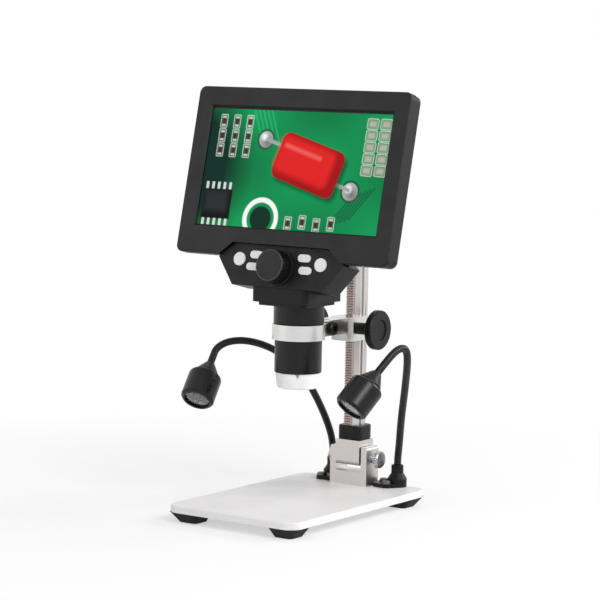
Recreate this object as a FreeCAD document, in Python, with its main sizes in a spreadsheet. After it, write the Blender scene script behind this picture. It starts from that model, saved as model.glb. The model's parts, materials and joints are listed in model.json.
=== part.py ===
# Digital microscope with a 7 inch screen, on a rack and pinion stand with two bendable lamps.
#
# Origin: the middle of the stand's plate, on the surface that the feet rest on.
# +Z is up, +X is to the right of someone who looks at the screen, +Y points to the column.
# All lengths are millimetres and all angles are degrees.

import FreeCAD, Part
import math
import os
import Sketcher

Vector = FreeCAD.Vector
Rotation = FreeCAD.Rotation
Placement = FreeCAD.Placement

# Driving sizes
# Each line is an alias, its value and what it measures.

SIZES = [
    # stand plate and feet
    ("plate_width", 110, "stand plate, left to right"),
    ("plate_depth", 172, "stand plate, front to back"),
    ("plate_thick", 5, "stand plate thickness"),
    ("plate_corner", 10, "corner radius of the plate"),
    ("plate_chamfer", 0.6, "chamfer round the plate's top edge"),
    ("foot_rise", 7.5, "height of a rubber foot"),
    ("foot_low", 15, "side of a foot where it meets the floor"),
    ("foot_high", 24, "side of a foot under the plate"),
    ("foot_inset", 1, "from the plate's edge to the top of a foot"),
    ("foot_lean", 2.5, "how much more a foot leans on its outer sides"),
    ("foot_recess", 3, "depth of the screw recess in a foot"),
    ("foot_recess_r", 3.8, "radius of the screw recess in a foot"),
    # screws
    ("small_screw", 1.5, "shank radius of the small screws"),
    ("large_screw", 2, "shank radius of the bracket's screws"),
    ("screw_clear", 0.2, "radial room round a screw shank"),
    ("head_spread", 1.7, "how far a screw's head reaches past its shank"),
    ("head_high", 2, "height of a screw's head"),
    # foot bracket of the column
    ("bracket_inset", 7.7, "from the plate's rear edge to the bracket"),
    ("bracket_depth", 16, "bracket, front to back"),
    ("ear_gap", 22, "room between the bracket's ears"),
    ("ear_thick", 5, "thickness of an ear"),
    ("ear_height", 28.7, "height of the ears above the plate"),
    ("ear_round", 2, "rounding of the ears' top corners"),
    ("web_thick", 10, "height of the bracket's web"),
    ("web_flare", 0.5, "how far the web's foot spreads on each side"),
    ("bracket_screw_pitch", 16, "between the bracket's two screws"),
    ("pivot_rise", 20, "pivot axis above the plate"),
    # tilt block, clamp screw and nut
    ("block_width", 20.4, "tilt block, left to right"),
    ("block_depth", 18.5, "tilt block, front to back"),
    ("block_below", 5.2, "tilt block below the pivot axis"),
    ("block_above", 13.5, "tilt block above the pivot axis"),
    ("block_round", 3, "rounding of the tilt block's lower edges"),
    ("pivot_pin", 3, "radius of the clamp screw's stem"),
    ("pivot_head_gap", 3.6, "bare stem between the ear and the knurled head"),
    ("pivot_head_r", 6.3, "radius of the knurled head"),
    ("pivot_head_long", 4.2, "length of the knurled head"),
    ("pivot_nut_r", 5.6, "corner radius of the nut"),
    ("pivot_nut_long", 3.8, "length of the nut"),
    # column
    ("column_lead", 7.8, "from the pivot axis to the column's front face"),
    ("column_width", 12, "column, left to right"),
    ("column_depth", 13, "column, front to back"),
    ("column_nose", 5.8, "width of the column's front face and of the rack"),
    ("nose_slope", 2.5, "depth of the slanted flanks behind the front face"),
    ("guide_start", 4.1, "from the column's front face to the guide grooves"),
    ("guide_wide", 2.6, "width of a guide groove"),
    ("guide_deep", 1.2, "depth of a guide groove"),
    ("trim_start", 9.2, "from the column's front face to the narrow grooves"),
    ("trim_wide", 0.9, "width of a narrow groove"),
    ("trim_deep", 0.5, "depth of a narrow groove"),
    ("column_long", 159, "length of the column"),
    ("collar_width", 16.4, "collar, left to right"),
    ("collar_depth", 18.7, "collar, front to back"),
    ("collar_high", 10.7, "collar height"),
    ("collar_round", 3, "corner radius of the collar"),
    ("column_cap_high", 2.6, "thickness of the column's end cap"),
    ("column_cap_over", 0.6, "how far the end cap reaches past the column"),
    ("loose_fit", 0.15, "room between pieces that only slip together"),
    ("running_fit", 0.08, "room between pieces that turn or slide"),
    # rack and pinion
    ("gear_module", 0.6, "module of the rack and pinion"),
    ("pinion_teeth", 12, "number of teeth on the pinion"),
    ("tooth_short", 0.12, "how much the pinion's tips are cut short"),
    ("mesh_gap", 0.06, "extra distance between rack and pinion"),
    ("rack_deep", 3.4, "depth of the rack bar with its teeth"),
    ("rack_foot_gap", 0.8, "between the collar and the rack's lower end"),
    ("rack_head_gap", 1.5, "between the rack's upper end and the end cap"),
    # carriage with its arm and ring
    ("carriage_rise", 63.8, "underside of the carriage above the collar"),
    ("carriage_high", 17.3, "carriage height"),
    ("carriage_width", 18.8, "carriage, left to right"),
    ("carriage_lead", 12.5, "from the column's front face to the carriage's front"),
    ("jaw_end", 6.2, "how far the jaws reach past the column's front face"),
    ("arm_long", 67.7, "from the column's front face to the tube's axis"),
    ("arm_width", 14, "arm, left to right"),
    ("arm_high", 11, "arm and ring height"),
    ("gusset_long", 6, "length of the slanted gusset under the arm"),
    ("ring_r", 19, "outer radius of the ring"),
    ("slit", 1.8, "width of the clamping slit"),
    ("slit_long", 38.2, "from the tube's axis to the end of the slit"),
    ("clamp_lead", 30.4, "from the tube's axis to the ring's clamp screw"),
    ("clamp_stem", 2, "radius of the clamp screw's stem"),
    ("clamp_head_r", 5, "radius of the clamp screw's head"),
    ("clamp_head_long", 3.4, "length of the clamp screw's head"),
    ("edge_break", 0.7, "chamfer on handled edges"),
    # pinion shaft and height knobs
    ("pinion_wide", 6.4, "width of the pinion"),
    ("pinion_shaft_r", 2, "radius of the pinion's shaft"),
    ("pinion_room", 0.4, "room round the pinion in the carriage"),
    ("knob_gap", 15.2, "from the carriage's side to a height knob's disc"),
    ("height_knob_r", 14.4, "radius of a height knob"),
    ("height_knob_thick", 5.3, "thickness of a height knob"),
    ("height_hub_r", 4.4, "radius of a height knob's hub"),
    ("height_dish_r", 7.75, "radius of the dished middle of a height knob"),
    ("height_dish_deep", 0.9, "depth of the dished middle"),
    ("height_flutes", 36, "number of grip flutes on a height knob"),
    ("flute_deep", 0.45, "depth of a grip flute"),
    # tube
    ("tube_r", 16.85, "outer radius of the lens tube"),
    ("tube_bore", 13, "bore of the lens tube"),
    ("tube_drop", 34.6, "lower end of the lens tube below the carriage's top"),
    ("sleeve_r", 18, "outer radius of the upper sleeve"),
    ("sleeve_gap", 0.1, "between the ring and the sleeve that stands on it"),
    ("cap_high", 11.2, "height of the frosted cap that shows"),
    ("cap_top_r", 16.15, "radius of the frosted cap at its top"),
    ("cap_low_r", 14.8, "radius of the frosted cap at its lower edge"),
    ("cap_wall", 1.4, "wall of the frosted cap"),
    ("cap_round", 1.5, "rounding of the frosted cap's lower edge"),
    ("cap_mouth_r", 11, "radius of the frosted cap's mouth"),
    ("cap_spigot", 3.2, "how far the frosted cap reaches into the tube"),
    ("cap_notch", 3.2, "width of the notch in the frosted cap"),
    ("led_board_thick", 1, "thickness of the ring of lights"),
    ("led_count", 8, "lights on the ring"),
    ("led_side", 2.4, "side of one light"),
    # lens and its drive
    ("barrel_rise", 11, "lower end of the lens barrel above the tube's"),
    ("barrel_long", 30, "length of the lens barrel"),
    ("barrel_wall", 2.2, "wall of the lens barrel"),
    ("lens_ledge", 1.4, "width of the ledge that the lens sits on"),
    ("lens_seat", 2, "from the barrel's lower end to the lens seat"),
    ("lens_thick", 4, "thickness of the lens at its middle"),
    ("lens_edge", 1.6, "thickness of the lens at its edge"),
    ("drive_wheel_r", 4, "radius of the focus wheel"),
    ("drive_gap", 0.3, "between the focus wheel and the lifter"),
    ("lifter_thick", 2, "thickness of the lens lifter"),
    ("lifter_lead", 9.4, "from the tube's axis forward to the lifter"),
    ("lifter_wide", 2.6, "width of the lens lifter"),
    ("lifter_over", 8, "how far the lifter reaches above the focus wheel's axis"),
    # neck
    ("neck_width", 47, "neck, left to right"),
    ("neck_ahead", 26.3, "from the tube's axis to the neck's front"),
    ("neck_behind", 20.2, "from the tube's axis to the neck's back"),
    ("neck_rise", 16.2, "underside of the neck above the carriage's top"),
    ("neck_high", 46, "height of the neck with its rear hump"),
    ("neck_round", 4, "corner radius of the neck"),
    ("neck_slope", 15, "slanted top edge of the rear hump"),
    ("flange_thick", 2.5, "thickness of the stepped flange under the neck"),
    ("flange_step", 3, "how far the flange stands back from the neck"),
    # screen, in a frame that leans back with it
    ("screen_tilt", 13, "lean of the screen"),
    ("window_ahead", 12.72, "the window's middle ahead of the tube's axis"),
    ("window_rise", 93.64, "the window's middle above the neck's underside"),
    ("window_width", 154.08, "visible width of the screen"),
    ("window_height", 85.92, "visible height of the screen"),
    ("margin_side", 13.4, "bezel beside the window"),
    ("margin_top", 14.6, "bezel above the window"),
    ("margin_low", 20.8, "bezel below the window"),
    ("bezel_corner", 5, "corner radius of the bezel"),
    ("bezel_deep", 8.5, "depth of the bezel's rim"),
    ("bezel_face", 2.2, "thickness of the bezel's front"),
    ("shell_wall", 2, "wall of the housings"),
    ("window_bevel", 1.2, "bevel round the window"),
    ("rim_chamfer", 0.7, "chamfer round the bezel's front"),
    ("back_deep", 24, "depth of the housing behind the bezel's front"),
    ("back_shoulder", 13, "depth where the housing starts to narrow"),
    ("back_narrow", 14, "how much the housing narrows on each side"),
    ("seam_step", 0.5, "how far the rear housing stands in from the bezel"),
    # control panel below the screen
    ("panel_set", 3, "how far the panel is set back from the bezel's front"),
    ("panel_thick", 1.5, "thickness of the control panel"),
    ("panel_top", 54.4, "from the window's middle down to the panel's top"),
    ("panel_wide_at", 64.8, "from the window's middle down to the panel's widest line"),
    ("panel_low", 84, "from the window's middle down to the panel's lower edge"),
    ("panel_top_half", 41, "half the panel's width at its top"),
    ("panel_half", 53.3, "half the panel's greatest width"),
    ("panel_low_half", 38.5, "half the panel's width at its lower edge"),
    # focus knob and buttons
    ("focus_drop", 69.8, "from the window's middle down to the focus knob"),
    ("focus_knob_r", 11.9, "radius of the focus knob"),
    ("focus_skirt_r", 12.6, "radius of the focus knob's skirt"),
    ("focus_skirt_high", 1.2, "height of the skirt"),
    ("focus_knob_high", 12.3, "height of the focus knob"),
    ("focus_knob_gap", 0.3, "between the focus knob and the panel"),
    ("focus_ribs", 40, "number of flutes on the focus knob"),
    ("focus_shaft_r", 2, "radius of the focus shaft"),
    ("bushing_r", 4.5, "radius of the focus shaft's bushing"),
    ("bushing_flange_r", 6.5, "radius of the bushing's flange"),
    ("bushing_long", 9, "length of the bushing"),
    ("round_button_x", 34.6, "from the middle to a round button"),
    ("round_button_drop", 65.6, "from the window's middle down to a round button"),
    ("round_button_r", 4.75, "radius of a round button"),
    ("upper_oval_x", 20.4, "from the middle to an upper oval button"),
    ("upper_oval_drop", 61.8, "from the window's middle down to an upper oval button"),
    ("lower_oval_x", 22.4, "from the middle to a lower oval button"),
    ("lower_oval_drop", 70.4, "from the window's middle down to a lower oval button"),
    ("oval_long", 10.4, "length of an oval button"),
    ("oval_wide", 5.4, "width of an oval button"),
    ("button_proud", 1, "how far a button stands out of the panel"),
    ("button_rim", 0.7, "width of the rim that holds a button in"),
    ("button_rim_thick", 0.6, "thickness of the rim that holds a button in"),
    ("button_travel", 0.8, "travel of a button"),
    ("switch_high", 1.5, "height of a switch on the button board"),
    ("switch_side", 4.5, "side of a switch on the button board"),
    ("board_thick", 1.6, "thickness of a circuit board"),
    # pieces inside the head
    ("lcd_rim", 4, "display module beyond the visible picture, at top and sides"),
    ("lcd_foot", 6.5, "display module beyond the visible picture, at its foot"),
    ("lcd_thick", 4.6, "thickness of the display module"),
    ("main_board_width", 120, "main board, left to right"),
    ("main_board_high", 74, "main board, bottom to top"),
    ("main_board_at", 12.4, "from the bezel's front to the main board"),
    ("main_board_rise", 2, "from the window's middle up to the main board's middle"),
    ("battery_width", 70, "battery, left to right"),
    ("battery_high", 48, "battery, bottom to top"),
    ("battery_thick", 6, "thickness of the battery"),
    ("boss_r", 3.4, "radius of the screw bosses"),
    ("boss_inset", 5, "from the bezel's edge to a screw boss"),
    ("tiny_screw", 1.05, "shank radius of the housing's screws"),
    ("post_r", 2.5, "radius of the posts that carry the main board"),
    # lamps
    ("lamp_base_half", 28.5, "half the distance between the lamps' bases"),
    ("lamp_base_shift", 3, "how far both bases stand to the right"),
    ("lamp_base_inset", 5.5, "from the plate's rear edge to the lamps' bases"),
    ("lamp_foot_thick", 3, "thickness of a base's flange"),
    ("lamp_boss_r", 7.1, "radius of a base's boss"),
    ("lamp_boss_high", 6, "height of the straight part of a base's boss"),
    ("lamp_cone_high", 4, "height of a base's cone"),
    ("lamp_post_r", 4.5, "radius of a base's post"),
    ("lamp_post_high", 16, "top of a base's post above the plate"),
    ("lobe_r", 3.7, "radius of a base's screw lobes"),
    ("hose_r", 2.6, "radius of a gooseneck"),
    ("ball_r", 2.5, "radius of a bending point's ball"),
    ("ball_neck_r", 1.6, "radius of the neck behind a ball"),
    ("ball_gap", 0.3, "room round a ball"),
    ("ball_rise", 4.6, "from a base's post to the bending point"),
    ("right_lamp_out", 40.5, "from its base out to the rear end of the right lamp"),
    ("left_lamp_out", 46.5, "from its base out to the rear end of the left lamp"),
    ("lamp_forward", 93.5, "from its base forward to the rear end of a lamp"),
    ("right_lamp_rise", 97, "rear end of the right lamp above the plate"),
    ("left_lamp_rise", 90.5, "rear end of the left lamp above the plate"),
    ("right_lamp_turn", 20, "how far the right lamp turns in"),
    ("left_lamp_turn", 12.6, "how far the left lamp turns in"),
    ("lamp_pitch", 46, "how far the lamps point down"),
    ("lamp_stub", 9, "from a lamp's rear end to its bending point"),
    ("lamp_small_r", 3.5, "radius of a lamp's cone at its small end"),
    ("lamp_mid_r", 9, "radius of a lamp's cone at its wide end"),
    ("lamp_cone_long", 10, "length of a lamp's cone"),
    ("lamp_r", 12.2, "radius of a lamp's body"),
    ("lamp_long", 33, "length of a lamp with its cone"),
    ("lamp_lip_r", 10.6, "radius of a lamp's front face"),
    ("lamp_lip_long", 1.8, "length of the slanted lip"),
    ("lamp_lens_r", 9.1, "radius of a lamp's lens"),
    ("lamp_lens_set", 1.2, "how far the lens is set back"),
    ("lamp_lens_thick", 1.6, "thickness of a lamp's lens"),
]


class Size:
    """A number together with the sheet expression that gives it."""

    def __init__(self, number, formula):
        self.number = float(number)
        self.formula = formula

    def __add__(self, other):
        other = as_size(other)
        return Size(self.number + other.number, f"({self.formula} + {other.formula})")

    def __sub__(self, other):
        other = as_size(other)
        return Size(self.number - other.number, f"({self.formula} - {other.formula})")

    def __mul__(self, other):
        other = as_size(other)
        return Size(self.number * other.number, f"({self.formula} * {other.formula})")

    def __truediv__(self, other):
        other = as_size(other)
        return Size(self.number / other.number, f"({self.formula} / {other.formula})")

    def __neg__(self):
        return Size(-self.number, f"(0 - {self.formula})")

    def __radd__(self, other):
        return as_size(other) + self

    def __rsub__(self, other):
        return as_size(other) - self

    def __rmul__(self, other):
        return as_size(other) * self


def as_size(value):
    if isinstance(value, Size):
        return value
    return Size(value, f"{float(value):.6f}")


def sine(angle):
    return Size(math.sin(math.radians(angle.number)), f"sin({angle.formula} * 1 deg)")


def cosine(angle):
    return Size(math.cos(math.radians(angle.number)), f"cos({angle.formula} * 1 deg)")


class Named:
    """The sheet's sizes by their aliases."""


doc = FreeCAD.newDocument("microscope")
sheet = doc.addObject("Spreadsheet::Sheet", "Sizes")
s = Named()
for row, (alias, value, meaning) in enumerate(SIZES, start=1):
    sheet.set(f"A{row}", meaning)
    sheet.set(f"B{row}", str(value))
    sheet.setAlias(f"B{row}", alias)
    setattr(s, alias, Size(value, f"Sizes.{alias}"))
doc.recompute()

PARTS = []


# Helpers

def bind(thing, path, value):
    """Ties one property to the sheet, or sets it where it is a plain number."""
    value = as_size(value)
    thing.setExpression(path, value.formula)


def keep(thing, name):
    """Marks an object as one of the finished sub-parts."""
    thing.Label = name
    PARTS.append(thing)
    return thing


def body(name):
    return keep(doc.addObject("PartDesign::Body", name), name)


def member(name):
    """A body that is one solid of a group."""
    return doc.addObject("PartDesign::Body", name)


def plane_of(part, role):
    return next(f for f in part.Origin.OriginFeatures if f.Role == role)


def sketch_on(part, role, offset=0):
    """A sketch parallel to one of the body's own planes, offset along that plane's normal."""
    sketch = part.newObject("Sketcher::SketchObject", part.Name + "_outline")
    sketch.AttachmentSupport = [(plane_of(part, role), "")]
    sketch.MapMode = "FlatFace"
    bind(sketch, "AttachmentOffset.Base.z", offset)
    return sketch


def fix_point(rules, formulas, geometry, corner, x, y):
    """Places one point of a sketch by its distances from the origin."""
    for kind, value, axis in (("DistanceX", as_size(x), -2), ("DistanceY", as_size(y), -1)):
        if value.number == 0 and "Sizes" not in value.formula:
            rules.append(Sketcher.Constraint("PointOnObject", geometry, corner, axis))
        else:
            formulas[len(rules)] = value.formula
            rules.append(Sketcher.Constraint(kind, -1, 1, geometry, corner, value.number))


def draw(sketch, path):
    """A closed outline. A stop is (x, y) for a line to it, or (x, y, cx, cy) for an arc about (cx, cy)."""
    stops = [tuple(as_size(v) for v in stop) for stop in path]
    shapes, arcs = [], []
    for i, stop in enumerate(stops):
        before = stops[i - 1]
        p = Vector(before[0].number, before[1].number, 0)
        q = Vector(stop[0].number, stop[1].number, 0)
        if len(stop) == 2:
            shapes.append(Part.LineSegment(p, q))
            arcs.append(None)
        else:
            centre = Vector(stop[2].number, stop[3].number, 0)
            start = math.atan2(p.y - centre.y, p.x - centre.x)
            end = math.atan2(q.y - centre.y, q.x - centre.x)
            forward = (end - start) % (2 * math.pi) < math.pi
            circle = Part.Circle(centre, Vector(0, 0, 1), (p - centre).Length)
            first, last = (start, end) if forward else (end, start)
            shapes.append(Part.ArcOfCircle(circle, first, last if last > first else last + 2 * math.pi))
            arcs.append(forward)
    first_index = sketch.GeometryCount
    sketch.addGeometry(shapes, False)
    rules, formulas = [], {}
    count = len(stops)
    for i, stop in enumerate(stops):
        geometry = first_index + i
        following = first_index + (i + 1) % count
        end_corner = 2 if arcs[i] in (None, True) else 1
        start_corner = 1 if arcs[(i + 1) % count] in (None, True) else 2
        rules.append(Sketcher.Constraint("Coincident", geometry, end_corner, following, start_corner))
        fix_point(rules, formulas, geometry, end_corner, stop[0], stop[1])
        if len(stop) == 4:
            before = stops[i - 1]
            wide = abs(stop[0].number - before[0].number)
            tall = abs(stop[1].number - before[1].number)
            kind, value = ("DistanceX", stop[2]) if tall > wide else ("DistanceY", stop[3])
            if value.number == 0 and "Sizes" not in value.formula:
                axis = -2 if kind == "DistanceX" else -1
                rules.append(Sketcher.Constraint("PointOnObject", geometry, 3, axis))
            else:
                formulas[len(rules)] = value.formula
                rules.append(Sketcher.Constraint(kind, -1, 1, geometry, 3, value.number))
    base = sketch.ConstraintCount
    sketch.addConstraint(rules)
    for number, formula in formulas.items():
        sketch.setExpression(f"Constraints[{base + number}]", formula)


def circle_at(sketch, x, y, radius):
    x, y, radius = as_size(x), as_size(y), as_size(radius)
    geometry = sketch.GeometryCount
    shape = Part.Circle(Vector(x.number, y.number, 0), Vector(0, 0, 1), radius.number)
    sketch.addGeometry([shape], False)
    rules, formulas = [], {}
    fix_point(rules, formulas, geometry, 3, x, y)
    formulas[len(rules)] = radius.formula
    rules.append(Sketcher.Constraint("Radius", geometry, radius.number))
    base = sketch.ConstraintCount
    sketch.addConstraint(rules)
    for number, formula in formulas.items():
        sketch.setExpression(f"Constraints[{base + number}]", formula)


def rounded(left, low, right, high, r):
    """The outline of a rectangle with round corners."""
    left, low, right, high, r = (as_size(v) for v in (left, low, right, high, r))
    return [
        (right - r, low), (right, low + r, right - r, low + r),
        (right, high - r), (right - r, high, right - r, high - r),
        (left + r, high), (left, high - r, left + r, high - r),
        (left, low + r), (left + r, low, left + r, low + r),
    ]


def box_outline(left, low, right, high):
    return [(left, low), (right, low), (right, high), (left, high)]


def centred(width, height, r):
    return rounded(-width / 2, -height / 2, width / 2, height / 2, r)


def slot_outline(cx, cy, length, width):
    """The outline of an oval: two half circles joined by straight sides."""
    r = width / 2
    reach = length / 2 - r
    return [
        (cx + reach, cy - r),
        (cx + reach + r, cy, cx + reach, cy), (cx + reach, cy + r, cx + reach, cy),
        (cx - reach, cy + r),
        (cx - reach - r, cy, cx - reach, cy), (cx - reach, cy - r, cx - reach, cy),
    ]


def pad(part, sketch, length, backwards=False):
    feature = part.newObject("PartDesign::Pad", part.Name + "_pad")
    feature.Profile = sketch
    bind(feature, "Length", length)
    feature.Reversed = backwards
    return feature


def pocket(part, sketch, length, backwards=False):
    feature = part.newObject("PartDesign::Pocket", part.Name + "_pocket")
    feature.Profile = sketch
    bind(feature, "Length", length)
    feature.Reversed = backwards
    return feature


def turned(part, profile, cut=False):
    """Turns a profile of (radius, height) stops about the body's Z axis."""
    sketch = sketch_on(part, "XZ_Plane")
    draw(sketch, profile)
    kind = "PartDesign::Groove" if cut else "PartDesign::Revolution"
    feature = part.newObject(kind, part.Name + "_turned")
    feature.Profile = sketch
    feature.ReferenceAxis = (sketch, ["V_Axis"])
    feature.Angle = 360
    return feature


def around(part, feature, count):
    """Repeats a feature about the body's Z axis."""
    pattern = part.newObject("PartDesign::PolarPattern", part.Name + "_pattern")
    pattern.Originals = [feature]
    pattern.Axis = (plane_of(part, "Z_Axis"), [""])
    pattern.Angle = 360
    bind(pattern, "Occurrences", count)
    part.Tip = pattern
    return pattern


def break_edges(part, amount, chosen, rounding=False):
    """Chamfers or fillets the edges of the body's last feature that the test picks."""
    doc.recompute()
    base = part.Tip
    names = [f"Edge{i + 1}" for i, edge in enumerate(base.Shape.Edges) if chosen(edge)]
    kind = "Fillet" if rounding else "Chamfer"
    feature = part.newObject("PartDesign::" + kind, part.Name + "_edges")
    feature.Base = (base, names)
    bind(feature, "Radius" if rounding else "Size", amount)
    return feature


def put(part, x=0, y=0, z=0, turn=None):
    """Places a piece. turn is a rotation, where it needs one."""
    if turn is not None:
        part.Placement = Placement(Vector(0, 0, 0), turn)
    for letter, value in (("x", x), ("y", y), ("z", z)):
        bind(part, f"Placement.Base.{letter}", value)
    return part


def group(name, members):
    """Identical solids that share one node."""
    compound = doc.addObject("Part::Compound", name)
    compound.Links = members
    return keep(compound, name)


def flat_at(height, tolerance=1e-4):
    """Picks the edges that lie at one height."""
    def test(edge):
        box = edge.BoundBox
        return abs(box.ZMin - height) < tolerance and abs(box.ZMax - height) < tolerance
    return test


# Directions that pieces are turned to

TO_RIGHT = Rotation(Vector(0, 0, 1), Vector(1, 0, 0))
TO_LEFT = Rotation(Vector(0, 0, 1), Vector(-1, 0, 0))

# Heights and places that follow from the sizes

plate_top = s.foot_rise + s.plate_thick
pivot_z = plate_top + s.pivot_rise
bracket_front = s.plate_depth / 2 - s.bracket_inset - s.bracket_depth
pivot_y = bracket_front + s.bracket_depth / 2
column_front = pivot_y - s.column_lead
block_top = pivot_z + s.block_above
collar_top = block_top + s.collar_high
column_top = block_top + s.column_long
column_mid_y = column_front + s.column_depth / 2
rack_front = column_front - s.rack_deep
pitch_line = rack_front + s.gear_module
pinion_pitch_r = s.gear_module * s.pinion_teeth / 2
pinion_tip_r = pinion_pitch_r + s.gear_module - s.tooth_short
pinion_y = pitch_line - pinion_pitch_r - s.mesh_gap
rack_pitch = s.gear_module * math.pi
carriage_low = collar_top + s.carriage_rise
carriage_top = carriage_low + s.carriage_high
clamp_z = carriage_top - s.arm_high / 2
pinion_z = carriage_low + s.carriage_high * 0.55
knob_inner = s.carriage_width / 2 + s.knob_gap
tube_y = column_front - s.arm_long
tube_low = carriage_top - s.tube_drop
barrel_low = tube_low + s.barrel_rise
barrel_bore = s.tube_bore - s.running_fit - s.barrel_wall
lifter_y = tube_y - s.lifter_lead
sleeve_low = carriage_top + s.sleeve_gap
neck_front = tube_y - s.neck_ahead
neck_back = tube_y + s.neck_behind
neck_low = carriage_top + s.neck_rise
neck_top = neck_low + s.neck_high
window_y = tube_y - s.window_ahead
window_z = neck_low + s.window_rise
flange_low = neck_low - s.flange_thick
cap_low = tube_low - s.cap_high
lamp_base_y = s.plate_depth / 2 - s.lamp_base_inset
ring_bore = s.tube_r + s.running_fit

tilt_cos = cosine(s.screen_tilt)
tilt_sin = sine(s.screen_tilt)
LEAN = Rotation(Vector(1, 0, 0), -s.screen_tilt.number)


def lean_point(depth, height):
    """Where a point of the leaning screen frame lies: (y, z)."""
    y = window_y + depth * tilt_cos + height * tilt_sin
    z = window_z - depth * tilt_sin + height * tilt_cos
    return y, z


def in_screen_frame(part, depth=0, across=0, height=0, turn=None):
    """Places a piece that is drawn in the leaning frame of the screen."""
    y, z = lean_point(as_size(depth), as_size(height))
    return put(part, across, y, z, LEAN if turn is None else LEAN * turn)


def front_sketch(part, depth=0):
    """A sketch parallel to the screen, at a depth behind the bezel's front."""
    return sketch_on(part, "XZ_Plane", -as_size(depth))


def push_back(part, outline, depth, length, cut=False):
    """Pads or cuts an outline from one depth of the screen frame towards the back."""
    sketch = front_sketch(part, depth)
    draw(sketch, outline)
    if cut:
        return pocket(part, sketch, length)
    return pad(part, sketch, length, backwards=True)


# Stand plate

def foot_places():
    reach_x = s.plate_width / 2 - s.foot_inset - s.foot_high / 2
    reach_y = s.plate_depth / 2 - s.foot_inset - s.foot_high / 2
    return [(side_x * reach_x, side_y * reach_y, side_x, side_y)
            for side_y in (-1, 1) for side_x in (-1, 1)]


def foot_screw_shift():
    """The foot's lower face stands in from its top, and its screw with it."""
    return s.foot_lean / 2


def lamp_screw_places():
    right_x = s.lamp_base_half + s.lamp_base_shift
    left_x = s.lamp_base_shift - s.lamp_base_half
    out = s.lamp_boss_r + s.small_screw + s.head_spread + 0.3
    right = [(right_x - out, lamp_base_y - 1.5), (right_x - out * 0.26, lamp_base_y - out * 0.98)]
    left = [(left_x - out * 0.3, lamp_base_y - out), (left_x + out * 0.44, lamp_base_y - out * 0.91)]
    return {
        "right": (right_x, right, [(right_x - out, lamp_base_y - out * 0.9)]),
        "left": (left_x, left, []),
    }


def make_plate():
    plate = body("base_plate")
    outline = sketch_on(plate, "XY_Plane", s.foot_rise)
    draw(outline, centred(s.plate_width, s.plate_depth, s.plate_corner))
    pad(plate, outline, s.plate_thick)
    blind = sketch_on(plate, "XY_Plane", s.foot_rise)
    for x, y, side_x, side_y in foot_places():
        circle_at(blind, x - side_x * foot_screw_shift(), y - side_y * foot_screw_shift(),
                  s.small_screw + s.screw_clear)
    pocket(plate, blind, s.plate_thick * 0.85, backwards=True)
    holes = sketch_on(plate, "XY_Plane", plate_top)
    for side in (-1, 1):
        circle_at(holes, side * s.bracket_screw_pitch / 2, pivot_y, s.large_screw + s.screw_clear)
    for base_x, screws, _ in lamp_screw_places().values():
        for x, y in screws:
            circle_at(holes, x, y, s.small_screw + s.screw_clear)
    pocket(plate, holes, s.plate_thick)
    top = plate_top.number
    edge_room = s.plate_corner.number

    def outer_top(edge):
        box = edge.BoundBox
        far = max(abs(box.XMax), abs(box.XMin)) > s.plate_width.number / 2 - edge_room
        deep = max(abs(box.YMax), abs(box.YMin)) > s.plate_depth.number / 2 - edge_room
        big = max(box.XLength, box.YLength) > 2 * (s.small_screw.number + s.screw_clear.number) + 0.5
        return flat_at(top)(edge) and (far or deep) and big

    break_edges(plate, s.plate_chamfer, outer_top)


def make_feet():
    feet, screws = [], []
    half_low = s.foot_low / 2
    half_high = s.foot_high / 2
    for index, (x, y, side_x, side_y) in enumerate(foot_places()):
        foot = member(f"foot_{index + 1}")
        low = sketch_on(foot, "XY_Plane")
        shift_x = side_x * s.foot_lean / 2
        shift_y = side_y * s.foot_lean / 2
        draw(low, rounded(-half_low - shift_x, -half_low - shift_y, half_low - shift_x, half_low - shift_y, 3))
        high = sketch_on(foot, "XY_Plane", s.foot_rise)
        draw(high, rounded(-half_high, -half_high, half_high, half_high, 5))
        loft = foot.newObject("PartDesign::AdditiveLoft", "foot_loft")
        loft.Profile = low
        loft.Sections = [high]
        loft.Ruled = True
        recess = sketch_on(foot, "XY_Plane")
        circle_at(recess, -shift_x, -shift_y, s.foot_recess_r)
        pocket(foot, recess, s.foot_recess, backwards=True)
        hole = sketch_on(foot, "XY_Plane")
        circle_at(hole, -shift_x, -shift_y, s.small_screw + s.screw_clear)
        pocket(foot, hole, s.foot_rise, backwards=True)
        put(foot, x, y, 0)
        feet.append(foot)
        bite = s.foot_rise - s.foot_recess + s.plate_thick * 0.8
        screw = make_screw(f"foot_screw_{index + 1}", s.small_screw, bite)
        put(screw, x - shift_x, y - shift_y, s.foot_recess)
        screws.append(screw)
    group("rubber_feet", feet)
    group("foot_screws", screws)


def make_screw(name, shank_r, length):
    """A pan head screw, its head's underside at the origin and its shank along +Z."""
    screw = member(name)
    head_r = shank_r + s.head_spread
    turned(screw, [
        (0, -s.head_high), (head_r - 0.6, -s.head_high), (head_r, 0.6 - s.head_high),
        (head_r, 0), (shank_r, 0), (shank_r, length - 0.4), (shank_r - 0.4, length), (0, length),
    ])
    socket = sketch_on(screw, "XY_Plane", -s.head_high)
    draw(socket, box_outline(-0.4, -1.3, 0.4, 1.3))
    pocket(screw, socket, s.head_high / 2, backwards=True)
    return screw


# Foot bracket, tilt block, clamp screw and nut

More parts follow.
